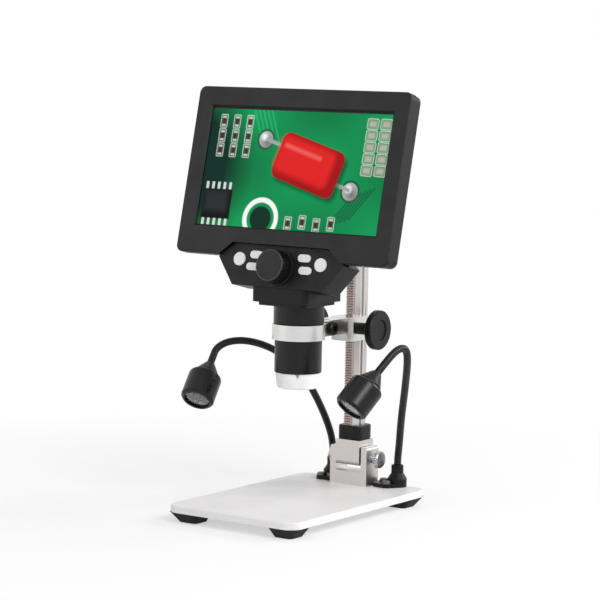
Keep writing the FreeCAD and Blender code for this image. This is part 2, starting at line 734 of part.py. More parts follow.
def make_bracket():
    bracket = body("foot_bracket")
    inner = s.ear_gap / 2
    outer = inner + s.ear_thick
    foot = outer + s.web_flare
    r = s.ear_round
    profile = sketch_on(bracket, "XZ_Plane")
    draw(profile, [
        (foot, 0), (outer, s.web_flare, foot, s.web_flare),
        (outer, s.ear_height - r), (outer - r, s.ear_height, outer - r, s.ear_height - r),
        (inner, s.ear_height), (inner, s.web_thick), (-inner, s.web_thick), (-inner, s.ear_height),
        (r - outer, s.ear_height), (-outer, s.ear_height - r, r - outer, s.ear_height - r),
        (-outer, s.web_flare), (-foot, 0, -foot, s.web_flare),
    ])
    pad(bracket, profile, s.bracket_depth, backwards=True)
    bores = sketch_on(bracket, "YZ_Plane", outer)
    circle_at(bores, s.bracket_depth / 2, s.pivot_rise, s.pivot_pin + s.running_fit)
    pocket(bracket, bores, outer * 2)
    threads = sketch_on(bracket, "XY_Plane")
    for side in (-1, 1):
        circle_at(threads, side * s.bracket_screw_pitch / 2, s.bracket_depth / 2, s.large_screw)
    pocket(bracket, threads, s.web_thick * 0.8, backwards=True)
    put(bracket, 0, bracket_front, plate_top)

    screws = []
    for side in (-1, 1):
        screw = make_screw(f"bracket_screw_{side + 2}", s.large_screw, s.plate_thick + s.web_thick * 0.7)
        put(screw, side * s.bracket_screw_pitch / 2, pivot_y, s.foot_rise)
        screws.append(screw)
    group("bracket_screws", screws)


def make_tilt_block():
    block = body("tilt_block")
    half = s.block_depth / 2
    r = s.block_round
    profile = sketch_on(block, "YZ_Plane", -s.block_width / 2)
    draw(profile, [
        (half - r, -s.block_below), (half, r - s.block_below, half - r, r - s.block_below),
        (half, s.block_above), (-half, s.block_above),
        (-half, r - s.block_below), (r - half, -s.block_below, r - half, r - s.block_below),
    ])
    pad(block, profile, s.block_width)
    bore = sketch_on(block, "YZ_Plane", s.block_width / 2)
    circle_at(bore, 0, 0, s.pivot_pin + s.running_fit)
    pocket(block, bore, s.block_width)
    put(block, 0, pivot_y, pivot_z)


def make_clamp_screw():
    """The knurled screw that the column tilts on and is clamped by. Its axis is local +Z."""
    outer = s.ear_gap / 2 + s.ear_thick
    tip = outer + s.pivot_nut_long + 1
    head = outer + s.pivot_head_gap
    screw = body("tilt_clamp_screw")
    turned(screw, [
        (0, -tip), (s.pivot_pin - 0.5, -tip), (s.pivot_pin, 0.5 - tip), (s.pivot_pin, head),
        (s.pivot_head_r - s.edge_break, head), (s.pivot_head_r, head + s.edge_break),
        (s.pivot_head_r, head + s.pivot_head_long - s.edge_break),
        (s.pivot_head_r - s.edge_break, head + s.pivot_head_long), (0, head + s.pivot_head_long),
    ])
    cut_flutes(screw, s.pivot_head_r, head, s.pivot_head_long, 24, s.flute_deep)
    put(screw, 0, pivot_y, pivot_z, TO_RIGHT)

    nut = body("tilt_clamp_nut")
    outline = sketch_on(nut, "XY_Plane")
    draw(outline, [(s.pivot_nut_r * math.cos(math.radians(60 * k + 30)),
                    s.pivot_nut_r * math.sin(math.radians(60 * k + 30))) for k in range(6)])
    pad(nut, outline, s.pivot_nut_long)
    bore = sketch_on(nut, "XY_Plane")
    circle_at(bore, 0, 0, s.pivot_pin + s.running_fit)
    pocket(nut, bore, s.pivot_nut_long, backwards=True)
    put(nut, -outer, pivot_y, pivot_z, TO_LEFT)


def cut_flutes(part, radius, low, length, count, deep):
    """Grip flutes: V grooves along the body's Z axis, repeated round it."""
    groove = sketch_on(part, "XY_Plane", low + length)
    half = deep * 0.9
    draw(groove, [(radius - deep, 0), (radius + deep, -half * 2), (radius + deep, half * 2)])
    around(part, pocket(part, groove, length), count)


# Column, collar, rack and end cap

def column_section(room=0):
    """The column's cross-section, front face at y = 0, grown by an even room."""
    nose = s.column_nose / 2 + room
    side = s.column_width / 2 + room
    back = s.column_depth + room
    groove = side - s.guide_deep
    trim = side - s.trim_deep
    half = [
        (nose, -as_size(room)), (side, s.nose_slope),
        (side, s.guide_start), (groove, s.guide_start),
        (groove, s.guide_start + s.guide_wide), (side, s.guide_start + s.guide_wide),
        (side, s.trim_start), (trim, s.trim_start + s.trim_wide / 2), (side, s.trim_start + s.trim_wide),
        (side, back - 0.6), (side - 0.6, back),
    ]
    return half + [(-x, y) for x, y in reversed(half)]


def make_column():
    column = body("column")
    outline = sketch_on(column, "XY_Plane")
    draw(outline, column_section())
    pad(column, outline, column_top - block_top)
    put(column, 0, column_front, block_top)

    collar = body("column_collar")
    outline = sketch_on(collar, "XY_Plane")
    draw(outline, centred(s.collar_width, s.collar_depth, s.collar_round))
    pad(collar, outline, s.collar_high)
    hole = sketch_on(collar, "XY_Plane")
    offset = column_mid_y - pivot_y
    side = s.column_width / 2 + s.loose_fit
    deep = s.column_depth / 2 + s.loose_fit
    draw(hole, box_outline(-side, offset - deep, side, offset + deep))
    pocket(collar, hole, s.collar_high, backwards=True)

    def outer_top(edge):
        box = edge.BoundBox
        inside = max(abs(box.XMin), abs(box.XMax)) < side.number + 0.01
        at_end = abs(box.Center.y) > s.collar_depth.number / 2 - 0.01
        return flat_at(s.collar_high.number)(edge) and (not inside or at_end)

    break_edges(collar, s.edge_break, outer_top)
    put(collar, 0, pivot_y, block_top)

    cap = body("column_cap")
    outline = sketch_on(cap, "XY_Plane")
    over = s.column_cap_over
    draw(outline, rounded(-s.column_width / 2 - over, -s.rack_deep - over, s.column_width / 2 + over,
                          s.column_depth + over, 1.5))
    pad(cap, outline, s.column_cap_high)
    break_edges(cap, s.edge_break, flat_at(s.column_cap_high.number))
    put(cap, 0, column_front, column_top)


def rack_low():
    return collar_top + s.rack_foot_gap


def make_rack():
    """A bar with one tooth gap cut across it, repeated up its length."""
    rack = body("rack")
    length = column_top - s.rack_head_gap - rack_low()
    outline = sketch_on(rack, "XY_Plane")
    half = s.column_nose / 2
    draw(outline, box_outline(-half, -s.rack_deep, half, 0))
    pad(rack, outline, length)
    slope = math.tan(math.radians(20))
    addendum = s.gear_module
    root = s.gear_module * 1.25
    at_tip = rack_pitch / 4 + addendum * slope
    at_root = rack_pitch / 4 - root * slope
    over = at_tip + 0.5 * slope
    tip = -s.rack_deep
    gap = sketch_on(rack, "YZ_Plane", half)
    phase = first_gap()
    draw(gap, [
        (tip - 0.5, phase - over), (tip + addendum + root, phase - at_root),
        (tip + addendum + root, phase + at_root), (tip - 0.5, phase + over),
    ])
    cut = pocket(rack, gap, s.column_nose)
    count = int((length.number - phase.number - rack_pitch.number / 2) / rack_pitch.number) + 1
    pattern = rack.newObject("PartDesign::LinearPattern", "rack_teeth")
    pattern.Originals = [cut]
    pattern.Direction = (plane_of(rack, "Z_Axis"), [""])
    bind(pattern, "Length", rack_pitch * (count - 1))
    pattern.Occurrences = count
    rack.Tip = pattern
    put(rack, 0, column_front, rack_low())


def first_gap():
    """Height of the lowest tooth gap in the rack, so that a gap faces the pinion's axis."""
    below = pinion_z - rack_low()
    whole = int(below.number / rack_pitch.number)
    return below - rack_pitch * whole


# Carriage with its arm and ring

def make_carriage():
    carriage = body("focus_carriage")
    half = s.carriage_width / 2
    fit = s.running_fit
    nose = s.column_nose / 2 + fit
    side = s.column_width / 2 + fit
    back = s.jaw_end
    groove_front = s.guide_start + fit
    lip = s.column_width / 2 - s.guide_deep + fit
    front = -s.carriage_lead
    channel = -s.rack_deep - s.pinion_room
    outline = sketch_on(carriage, "XY_Plane")
    right = [
        (half - 1, front), (half, front + 1), (half, back), (lip, back), (lip, groove_front),
        (side, groove_front), (side, s.nose_slope - fit), (nose, -fit), (nose, channel),
    ]
    draw(outline, right + [(-x, y) for x, y in reversed(right)])
    pad(carriage, outline, s.carriage_high)

    arm_base = s.carriage_high - s.arm_high
    ring_y = tube_y - column_front
    arm = sketch_on(carriage, "XY_Plane", arm_base)
    arm_half = s.arm_width / 2
    draw(arm, box_outline(-arm_half, ring_y + s.ring_r * 0.8, arm_half, front + 0.5))
    pad(carriage, arm, s.arm_high)
    ring = sketch_on(carriage, "XY_Plane", arm_base)
    circle_at(ring, 0, ring_y, s.ring_r)
    pad(carriage, ring, s.arm_high)
    gusset = sketch_on(carriage, "YZ_Plane", -arm_half)
    draw(gusset, [(front + 0.5, 0), (front + 0.5, arm_base + 0.5), (front - s.gusset_long, arm_base + 0.5),
                  (front - s.gusset_long, arm_base), (front, 0)])
    pad(carriage, gusset, s.arm_width)

    bore = sketch_on(carriage, "XY_Plane", s.carriage_high)
    circle_at(bore, 0, ring_y, ring_bore)
    pocket(carriage, bore, s.carriage_high)
    slit = sketch_on(carriage, "XY_Plane", s.carriage_high)
    slit_end = tube_y + s.slit_long - column_front
    draw(slit, rounded(-s.slit / 2, ring_y, s.slit / 2, slit_end, s.slit / 2 * 0.98))
    pocket(carriage, slit, s.arm_high)
    clamp = sketch_on(carriage, "YZ_Plane", arm_half)
    circle_at(clamp, tube_y + s.clamp_lead - column_front, clamp_z - carriage_low, s.clamp_stem + fit)
    pocket(carriage, clamp, s.arm_width)

    shaft = sketch_on(carriage, "YZ_Plane", half)
    circle_at(shaft, pinion_y - column_front, pinion_z - carriage_low, s.pinion_shaft_r + fit)
    pocket(carriage, shaft, s.carriage_width)
    room = sketch_on(carriage, "YZ_Plane", s.pinion_wide / 2 + s.pinion_room)
    circle_at(room, pinion_y - column_front, pinion_z - carriage_low, pinion_tip_r + s.pinion_room)
    pocket(carriage, room, s.pinion_wide + s.pinion_room * 2)
    put(carriage, 0, column_front, carriage_low)


def make_ring_clamp():
    screw = body("ring_clamp_screw")
    arm_half = s.arm_width / 2
    top = arm_half + 0.2 + s.clamp_head_long
    chamfer = s.edge_break
    turned(screw, [
        (0, -arm_half), (s.clamp_stem, -arm_half), (s.clamp_stem, arm_half + 0.2),
        (s.clamp_head_r, arm_half + 0.2), (s.clamp_head_r, top - chamfer), (s.clamp_head_r - chamfer, top),
        (s.clamp_stem, top), (s.clamp_stem, top - s.clamp_head_long / 2), (0, top - s.clamp_head_long / 2),
    ])
    cut_flutes(screw, s.clamp_head_r, arm_half + 0.2, s.clamp_head_long, 18, s.flute_deep)
    put(screw, 0, tube_y + s.clamp_lead, clamp_z, TO_RIGHT)


# Pinion and height knobs

def tooth_space(pitch_r, tip_r, root_r, count):
    """Half outline of the space between two teeth, as (radius, half angle) from root to tip."""
    pressure = math.radians(20)
    base_r = pitch_r * math.cos(pressure)
    involute = math.tan(pressure) - pressure
    half_pitch = math.pi / count / 2
    thin = 0.04 / pitch_r
    stops = []
    flank_low = (base_r + pitch_r) / 2
    flank_high = (pitch_r + tip_r) / 2
    for r in (root_r, max(base_r, root_r + 0.2), flank_low, pitch_r, flank_high, tip_r + 0.25):
        if r <= base_r:
            roll = 0
        else:
            angle = math.acos(base_r / r)
            roll = math.tan(angle) - angle
        stops.append((r, half_pitch - involute + roll + thin))
    return stops


def make_pinion():
    pinion = body("pinion_shaft")
    half = s.pinion_wide / 2
    reach = knob_inner + s.height_knob_thick * 0.6
    turned(pinion, [
        (0, -reach), (s.pinion_shaft_r, -reach), (s.pinion_shaft_r, -half), (pinion_tip_r, -half),
        (pinion_tip_r, half), (s.pinion_shaft_r, half), (s.pinion_shaft_r, reach), (0, reach),
    ])
    root_r = pinion_pitch_r.number - 1.2 * s.gear_module.number
    half_space = tooth_space(pinion_pitch_r.number, pinion_tip_r.number, root_r, s.pinion_teeth.number)
    gap = sketch_on(pinion, "XY_Plane", half)
    side = [(r * math.cos(a), r * math.sin(a)) for r, a in half_space]
    draw(gap, [(x, -y) for x, y in side] + list(reversed(side)))
    around(pinion, pocket(pinion, gap, s.pinion_wide), s.pinion_teeth)
    # A tooth of the pinion points at the rack.
    turn = Rotation(Vector(1, 0, 0), 90 + 180 / s.pinion_teeth.number) * TO_RIGHT
    put(pinion, 0, pinion_y, pinion_z, turn)


def make_height_knob(name, direction):
    """A disc with a hub towards the carriage. The knob's axis is local +Z, outwards."""
    knob = body(name)
    hub = s.carriage_width / 2 + 0.3
    inner = knob_inner
    outer = inner + s.height_knob_thick
    r = s.height_knob_r
    chamfer = s.edge_break
    turned(knob, [
        (s.pinion_shaft_r, hub), (s.height_hub_r, hub), (s.height_hub_r, inner), (r - chamfer, inner),
        (r, inner + chamfer), (r, outer - chamfer), (r - chamfer, outer),
        (s.height_dish_r, outer), (s.height_dish_r - 0.4, outer - s.height_dish_deep),
        (0, outer - s.height_dish_deep), (0, inner + s.height_knob_thick * 0.6),
        (s.pinion_shaft_r, inner + s.height_knob_thick * 0.6),
    ])
    cut_flutes(knob, r, inner, s.height_knob_thick, s.height_flutes, s.flute_deep)
    put(knob, 0, pinion_y, pinion_z, direction)


# Lens tube with its frosted cap

def make_tube():
    top = neck_low
    tube = body("lens_tube")
    step = s.cap_top_r - s.cap_wall * 0.6
    spigot = tube_low + s.cap_spigot + s.led_board_thick + 0.3
    turned(tube, [
        (step, tube_low), (s.tube_r - 0.3, tube_low), (s.tube_r, tube_low + 0.3), (s.tube_r, top),
        (s.tube_bore, top), (s.tube_bore, spigot), (step, spigot),
    ])
    put(tube, 0, tube_y, 0)

    sleeve = body("tube_sleeve")
    turned(sleeve, [
        (s.tube_r + 0.05, sleeve_low), (s.sleeve_r - 0.5, sleeve_low), (s.sleeve_r, sleeve_low + 0.5),
        (s.sleeve_r, flange_low), (s.tube_r + 0.05, flange_low),
    ])
    put(sleeve, 0, tube_y, 0)

    cap = body("diffuser_cap")
    spigot_r = step - 0.1
    r = s.cap_round
    wall = s.cap_wall
    low_in = s.cap_low_r - wall
    turned(cap, [
        (s.cap_mouth_r, cap_low), (s.cap_low_r - r, cap_low), (s.cap_low_r, cap_low + r, s.cap_low_r - r, cap_low + r),
        (s.cap_top_r, tube_low - 0.1), (spigot_r, tube_low - 0.1), (spigot_r, tube_low + s.cap_spigot),
        (spigot_r - wall, tube_low + s.cap_spigot), (low_in, cap_low + wall), (s.cap_mouth_r, cap_low + wall),
    ])
    notch = sketch_on(cap, "XZ_Plane", s.cap_top_r * 0.6)
    half = s.cap_notch / 2
    draw(notch, [(-half, tube_low - 0.1), (0, tube_low - s.cap_notch), (half, tube_low - 0.1)])
    pocket(cap, notch, s.cap_top_r * 0.5, backwards=True)
    put(cap, 0, tube_y, 0, Rotation(Vector(0, 0, 1), 34))

    board = body("led_ring_board")
    low = tube_low + s.cap_spigot + 0.1
    outline = sketch_on(board, "XY_Plane", low)
    circle_at(outline, 0, 0, spigot_r - 0.1)
    circle_at(outline, 0, 0, barrel_bore)
    pad(board, outline, s.led_board_thick)
    light = sketch_on(board, "XY_Plane", low)
    middle = (spigot_r - wall + barrel_bore) / 2
    half = s.led_side / 2
    draw(light, box_outline(middle - half, -half, middle + half, half))
    around(board, pad(board, light, 0.8, backwards=True), s.led_count)
    put(board, 0, tube_y, 0)


# Lens barrel, lens and the focus drive

def drive_depth():
    """Depth in the screen frame at which the focus shaft reaches the lifter."""
    return (lifter_y - window_y + s.focus_drop * tilt_sin) / tilt_cos


def make_lens():
    top = barrel_low + s.barrel_long
    barrel = body("lens_barrel")
    r = s.tube_bore - s.running_fit
    seat = barrel_low + s.lens_seat
    opening = barrel_bore - s.lens_ledge
    turned(barrel, [
        (opening, barrel_low), (r - 0.5, barrel_low), (r, barrel_low + 0.5), (r, top),
        (barrel_bore, top), (barrel_bore, seat), (opening, seat),
    ])
    put(barrel, 0, tube_y, 0)

    lens = body("objective_lens")
    edge = barrel_bore - 0.1
    bulge = s.lens_thick - s.lens_edge
    curve = (edge * edge + bulge * bulge) / (bulge * 2)
    rim = seat + s.lens_edge
    turned(lens, [(edge, seat), (edge, rim), (0, rim + bulge, 0, rim + bulge - curve), (0, seat)])
    put(lens, 0, tube_y, 0)

    lifter = body("lens_lifter")
    _, wheel_z = lean_point(drive_depth(), -s.focus_drop)
    bar = sketch_on(lifter, "XY_Plane")
    inner = s.drive_wheel_r + s.drive_gap
    draw(bar, box_outline(inner, -s.lifter_wide / 2, inner + s.lifter_thick, s.lifter_wide / 2))
    pad(lifter, bar, wheel_z + s.lifter_over - top)
    put(lifter, 0, lifter_y, top)


def make_focus_drive():
    outward = Rotation(Vector(0, 0, 1), Vector(0, -1, 0))
    face = s.panel_set - s.focus_knob_gap
    knob = body("focus_knob")
    r = s.focus_knob_r
    top = s.focus_knob_high
    skirt = s.focus_skirt_high
    bore = s.focus_shaft_r
    turned(knob, [
        (bore, 0), (s.focus_skirt_r, 0), (s.focus_skirt_r, skirt), (r, skirt + 0.3),
        (r - 0.5, top - s.edge_break), (r - s.edge_break - 0.5, top), (0, top), (0, top * 0.6), (bore, top * 0.6),
    ])
    cut_flutes(knob, r, skirt + 0.3, top - skirt - 0.3, s.focus_ribs, s.flute_deep)
    in_screen_frame(knob, face, 0, -s.focus_drop, outward)

    shaft = body("focus_shaft")
    wheel = drive_depth() - face
    half = 2
    turned(shaft, [
        (0, top * 0.6), (bore, top * 0.6), (bore, half - wheel), (s.drive_wheel_r, half - wheel),
        (s.drive_wheel_r, -half - wheel), (0, -half - wheel),
    ])
    in_screen_frame(shaft, face, 0, -s.focus_drop, outward)

    bushing = body("focus_bushing")
    back = s.panel_set + s.panel_thick - face
    turned(bushing, [
        (bore + s.running_fit, -s.panel_set + face), (s.bushing_r, -s.panel_set + face), (s.bushing_r, -back),
        (s.bushing_flange_r, -back), (s.bushing_flange_r, -back - 1.5), (s.bushing_r, -back - 1.5),
        (s.bushing_r, -s.bushing_long), (bore + s.running_fit, -s.bushing_long),
    ])
    in_screen_frame(bushing, face, 0, -s.focus_drop, outward)


# Head: bezel, housing, control panel and what they hold

def bezel_edges(inset=0):
    """Left, low, right and high edges of the bezel, in the screen frame."""
    half = s.window_width / 2 + s.margin_side - inset
    low = -s.window_height / 2 - s.margin_low + inset
    high = s.window_height / 2 + s.margin_top - inset
    return -half, low, half, high


def panel_outline(room=0):
    """The six-sided outline of the control panel, grown by an even room."""
    room = as_size(room)
    top = -s.panel_top + room
    low = -s.panel_low - room
    middle = -s.panel_wide_at
    return [
        (s.panel_top_half + room / 2, top), (s.panel_half + room, middle), (s.panel_low_half + room / 2, low),
        (-s.panel_low_half - room / 2, low), (-s.panel_half - room, middle), (-s.panel_top_half - room / 2, top),
    ]


def make_bezel():
    bezel = body("screen_bezel")
    push_back(bezel, rounded(*bezel_edges(), s.bezel_corner), 0, s.bezel_deep)
    push_back(bezel, rounded(*bezel_edges(s.shell_wall), s.bezel_corner - s.shell_wall), s.bezel_face,
              s.bezel_deep - s.bezel_face, cut=True)
    half_w, half_h = s.window_width / 2, s.window_height / 2
    push_back(bezel, box_outline(-half_w, -half_h, half_w, half_h), 0, s.bezel_face, cut=True)
    push_back(bezel, panel_outline(s.loose_fit), 0, s.bezel_deep, cut=True)
    bosses = front_sketch(bezel, s.bezel_face - 0.2)
    pilots = front_sketch(bezel, s.bezel_face)
    for x, z in boss_places():
        circle_at(bosses, x, z, s.boss_r)
        circle_at(pilots, x, z, s.tiny_screw)
    pad(bezel, bosses, s.bezel_deep - s.bezel_face + 0.2, backwards=True)
    pocket(bezel, pilots, s.bezel_deep - s.bezel_face)

    def window_front(edge):
        box = edge.BoundBox
        return (abs(box.YMin) < 1e-4 and abs(box.YMax) < 1e-4
                and max(abs(box.XMin), abs(box.XMax)) < half_w.number + 0.01
                and max(abs(box.ZMin), abs(box.ZMax)) < half_h.number + 0.01)

    break_edges(bezel, s.window_bevel, window_front)
    left, low, right, high = (edge.number for edge in bezel_edges())
    reach = s.bezel_corner.number + 0.01

    def rim_front(edge):
        box = edge.BoundBox
        near = (box.XMin < left + reach and box.XMax < left + reach or box.XMax > right - reach
                and box.XMin > right - reach or box.ZMin > high - reach)
        low_edge = box.ZMax < low + 0.01 and abs(box.XMin) > s.panel_low_half.number
        return abs(box.YMin) < 1e-4 and abs(box.YMax) < 1e-4 and (near or low_edge)

    break_edges(bezel, s.rim_chamfer, rim_front)
    in_screen_frame(bezel)


def boss_places():
    left, low, right, high = bezel_edges(s.boss_inset)
    return [(left, low), (right, low), (left, high), (right, high)]


def screw_seat():
    """Depth at which the heads of the housing's screws sit."""
    return s.back_shoulder - 1.5


def plan_sketch(part, level):
    """A sketch level with the floor, in a body of the leaning frame, under the window's middle."""
    sketch = part.newObject("Sketcher::SketchObject", part.Name + "_plan")
    sketch.AttachmentSupport = [(plane_of(part, "XY_Plane"), "")]
    sketch.MapMode = "FlatFace"
    sketch.AttachmentOffset = Placement(Vector(0, 0, 0), Rotation(Vector(1, 0, 0), s.screen_tilt.number))
    rise = level - window_z
    bind(sketch, "AttachmentOffset.Base.y", -rise * tilt_sin)
    bind(sketch, "AttachmentOffset.Base.z", rise * tilt_cos)
    return sketch


def upright(y, z):
    """A point given upright, as (depth, height) in the leaning frame."""
    y, z = y - window_y, z - window_z
    return y * tilt_cos - z * tilt_sin, y * tilt_sin + z * tilt_cos


def make_housing():
    housing = body("rear_housing")
    wall = s.shell_wall
    edges = bezel_edges(s.seam_step)
    corner = s.bezel_corner
    push_back(housing, rounded(*edges, corner), s.bezel_deep, s.back_shoulder - s.bezel_deep)
    wide = front_sketch(housing, s.back_shoulder)
    draw(wide, rounded(*edges, corner))
    narrow = front_sketch(housing, s.back_deep)
    draw(narrow, rounded(*bezel_edges(s.seam_step + s.back_narrow), corner))
    loft = housing.newObject("PartDesign::AdditiveLoft", "housing_loft")
    loft.Profile = wide
    loft.Sections = [narrow]
    loft.Ruled = True
    chin_front = s.panel_set + s.panel_thick
    push_back(housing, panel_outline(), chin_front, s.back_deep - chin_front)

    # The neck stands upright below the leaning screen, with a slanted hump behind it.
    half = s.neck_width / 2
    neck = plan_sketch(housing, neck_low)
    draw(neck, rounded(-half, neck_front - window_y, half, neck_back - window_y, s.neck_round))
    pad(housing, neck, s.neck_high)
    slant = sketch_on(housing, "YZ_Plane", half + 1)
    ease = s.neck_slope * 1.3
    draw(slant, [
        upright(neck_back, neck_top - s.neck_slope), upright(neck_back + 5, neck_top - s.neck_slope),
        upright(neck_back + 5, neck_top + 5), upright(neck_back - ease, neck_top + 5),
        upright(neck_back - ease, neck_top),
    ])
    pocket(housing, slant, s.neck_width + 2)
    reach = half + 1
    clear = s.neck_high
    push_back(housing, box_outline(-reach, -s.panel_low - clear, reach, -s.panel_top), chin_front - clear,
              clear, cut=True)
    push_back(housing, box_outline(-reach, -s.panel_top, reach, clear - s.panel_top), s.bezel_deep - clear,
              clear, cut=True)

    # Hollow
    push_back(housing, rounded(*bezel_edges(s.seam_step + wall), corner - wall), s.bezel_deep,
              s.back_shoulder - s.bezel_deep, cut=True)
    wide = front_sketch(housing, s.back_shoulder)
    draw(wide, rounded(*bezel_edges(s.seam_step + wall), corner - wall))
    narrow = front_sketch(housing, s.back_deep - wall)
    draw(narrow, rounded(*bezel_edges(s.seam_step + wall + s.back_narrow * 0.84), corner - wall))
    hollow = housing.newObject("PartDesign::SubtractiveLoft", "housing_hollow")
    hollow.Profile = wide
    hollow.Sections = [narrow]
    hollow.Ruled = True
    push_back(housing, panel_outline(-wall), chin_front, s.back_deep - wall - chin_front, cut=True)
    inner = sketch_on(housing, "YZ_Plane", half - wall)
    draw(inner, [
        upright(neck_front + wall, neck_low + wall), upright(neck_back - wall, neck_low + wall),
        upright(neck_back - wall, neck_top - s.neck_slope - wall * 0.6),
        upright(neck_back - ease - wall * 0.4, neck_top - wall * 1.4),
        (s.back_deep - wall * 2, -s.window_height / 2 - 2), (chin_front + 1, -s.panel_top - wall - 1),
        (chin_front + 1, -s.panel_wide_at - wall * 3),
    ])
    pocket(housing, inner, s.neck_width - wall * 2)
    opening = plan_sketch(housing, neck_low)
    circle_at(opening, 0, tube_y - window_y, s.tube_bore)
    pocket(housing, opening, wall, backwards=True)

    # Screw bosses with deep wells
    bosses = front_sketch(housing, s.bezel_deep)
    for x, z in boss_places():
        circle_at(bosses, x, z, s.boss_r)
    pad(housing, bosses, s.back_shoulder - s.bezel_deep, backwards=True)
    holes = front_sketch(housing, s.bezel_deep)
    for x, z in boss_places():
        circle_at(holes, x, z, s.tiny_screw + s.screw_clear)
    pocket(housing, holes, s.back_deep - s.bezel_deep)
    wells = front_sketch(housing, screw_seat())
    for x, z in boss_places():
        circle_at(wells, x, z, s.tiny_screw + s.head_spread + s.screw_clear)
    pocket(housing, wells, s.back_deep - screw_seat())
    in_screen_frame(housing)


def make_flange():
    flange = body("neck_flange")
    outline = sketch_on(flange, "XY_Plane")
    half = s.neck_width / 2 - s.flange_step
    step = s.flange_step
    draw(outline, rounded(-half, neck_front + step, half, neck_back - step, s.neck_round))
    pad(flange, outline, s.flange_thick)
    bore = sketch_on(flange, "XY_Plane")
    circle_at(bore, 0, tube_y, s.tube_r + 0.05)
    pocket(flange, bore, s.flange_thick, backwards=True)
    put(flange, 0, 0, flange_low)


def button_outlines(room=0):
    """Outline, name and middle of every button, in the screen frame."""
    found = []
    for side, word in ((-1, "left"), (1, "right")):
        found.append((f"{word}_round_button", side * s.round_button_x, -s.round_button_drop,
                      s.round_button_r * 2 + room * 2, s.round_button_r * 2 + room * 2))
        found.append((f"{word}_upper_button", side * s.upper_oval_x, -s.upper_oval_drop,
                      s.oval_long + room * 2, s.oval_wide + room * 2))
        found.append((f"{word}_lower_button", side * s.lower_oval_x, -s.lower_oval_drop,
                      s.oval_long + room * 2, s.oval_wide + room * 2))
    return found


def draw_button(sketch, x, z, length, width):
    if length.number == width.number:
        circle_at(sketch, x, z, width / 2)
    else:
        draw(sketch, slot_outline(x, z, length, width))


def make_panel():
    panel = body("control_panel")
    push_back(panel, panel_outline(), s.panel_set, s.panel_thick)
    holes = front_sketch(panel, s.panel_set)
    for _, x, z, length, width in button_outlines(s.loose_fit):
        draw_button(holes, x, z, length, width)
    circle_at(holes, 0, -s.focus_drop, s.bushing_r + 0.05)
    pocket(panel, holes, s.panel_thick)
    in_screen_frame(panel)


def make_buttons():
    """Each button has a cap that stands out of the panel and a rim behind it that holds it in."""
    for name, x, z, length, width in button_outlines():
        button = body(name)
        cap = front_sketch(button, s.panel_set - s.button_proud)
        draw_button(cap, as_size(0), as_size(0), length, width)
        pad(button, cap, s.button_proud + s.panel_thick + 0.1, backwards=True)
        rim = front_sketch(button, s.panel_set + s.panel_thick + 0.05)
        draw_button(rim, as_size(0), as_size(0), length + s.button_rim * 2, width + s.button_rim * 2)
        pad(button, rim, s.button_rim_thick, backwards=True)
        in_screen_frame(button, 0, x, z)


def make_inner_pieces():
    lcd = body("lcd_panel")
    half_w = s.window_width / 2 + s.lcd_rim
    low = -s.window_height / 2 - s.lcd_foot
    high = s.window_height / 2 + s.lcd_rim
    push_back(lcd, box_outline(-half_w, low, half_w, high), s.bezel_face + 0.05, s.lcd_thick)
    posts = front_sketch(lcd, s.bezel_face + s.lcd_thick)
    for side in (-1, 1):
        for level in (-1, 1):
            circle_at(posts, side * (s.main_board_width / 2 - s.post_r - 1),
                      s.main_board_rise + level * (s.main_board_high / 2 - s.post_r - 1), s.post_r)
    pad(lcd, posts, s.main_board_at - s.bezel_face - s.lcd_thick, backwards=True)
    in_screen_frame(lcd)

    board = body("main_board")
    half_w = s.main_board_width / 2
    low = s.main_board_rise - s.main_board_high / 2
    high = s.main_board_rise + s.main_board_high / 2
    push_back(board, box_outline(-half_w, low, half_w, high), s.main_board_at, s.board_thick)
    push_back(board, box_outline(-12, low + 8, 12, low + 32), s.main_board_at - 1.2, 1.3)
    push_back(board, box_outline(20, low + 12, 34, low + 24), s.main_board_at - 1, 1.1)
    push_back(board, box_outline(-half_w - 4, 6, 8 - half_w, 14), s.main_board_at - 3, 3.1)
    in_screen_frame(board)

    battery = body("battery")
    half = s.battery_width / 2
    push_back(battery, rounded(-half, s.main_board_rise - s.battery_high / 2, half,
                               s.main_board_rise + s.battery_high / 2, 3),
              s.main_board_at + s.board_thick + 0.2, s.battery_thick)
    in_screen_frame(battery)

    buttons = body("button_board")
    face = s.panel_set + s.panel_thick + 0.05 + s.button_rim_thick + s.button_travel + 0.1
    outline = panel_outline(-(s.shell_wall + 0.6))
    push_back(buttons, outline, face + s.switch_high, s.board_thick)
    switches = front_sketch(buttons, face)
    for _, x, z, _, _ in button_outlines():
        half = s.switch_side / 2
        draw(switches, box_outline(x - half, z - half, x + half, z + half))
    pad(buttons, switches, s.switch_high + 0.1, backwards=True)
    hole = front_sketch(buttons, face + s.switch_high)
    circle_at(hole, 0, -s.focus_drop, s.bushing_flange_r + 0.3)
    pocket(buttons, hole, s.board_thick)
    in_screen_frame(buttons)

    sensor = body("sensor_board")
    board_z = neck_low + 6
    half = s.neck_width / 2 - s.shell_wall - 0.3
    outline = sketch_on(sensor, "XY_Plane", board_z)
    front = lifter_y + s.lifter_wide / 2 + 1 - tube_y
    back = neck_back - s.shell_wall - 0.3 - tube_y
    draw(outline, rounded(-half, front, half, back, s.neck_round - s.shell_wall))
    pad(sensor, outline, s.board_thick)
    chip = sketch_on(sensor, "XY_Plane", board_z)
    draw(chip, box_outline(-5, -4, 5, 4))
    pad(sensor, chip, 1.5, backwards=True)
    put(sensor, 0, tube_y, 0)

    screws = []
    for index, (x, z) in enumerate(boss_places()):
        screw = make_screw(f"housing_screw_{index + 1}", s.tiny_screw, screw_seat() - s.bezel_face - 1.5)
        in_screen_frame(screw, screw_seat(), x, z, Rotation(Vector(0, 0, 1), Vector(0, -1, 0)))
        screws.append(screw)
    group("housing_screws", screws)


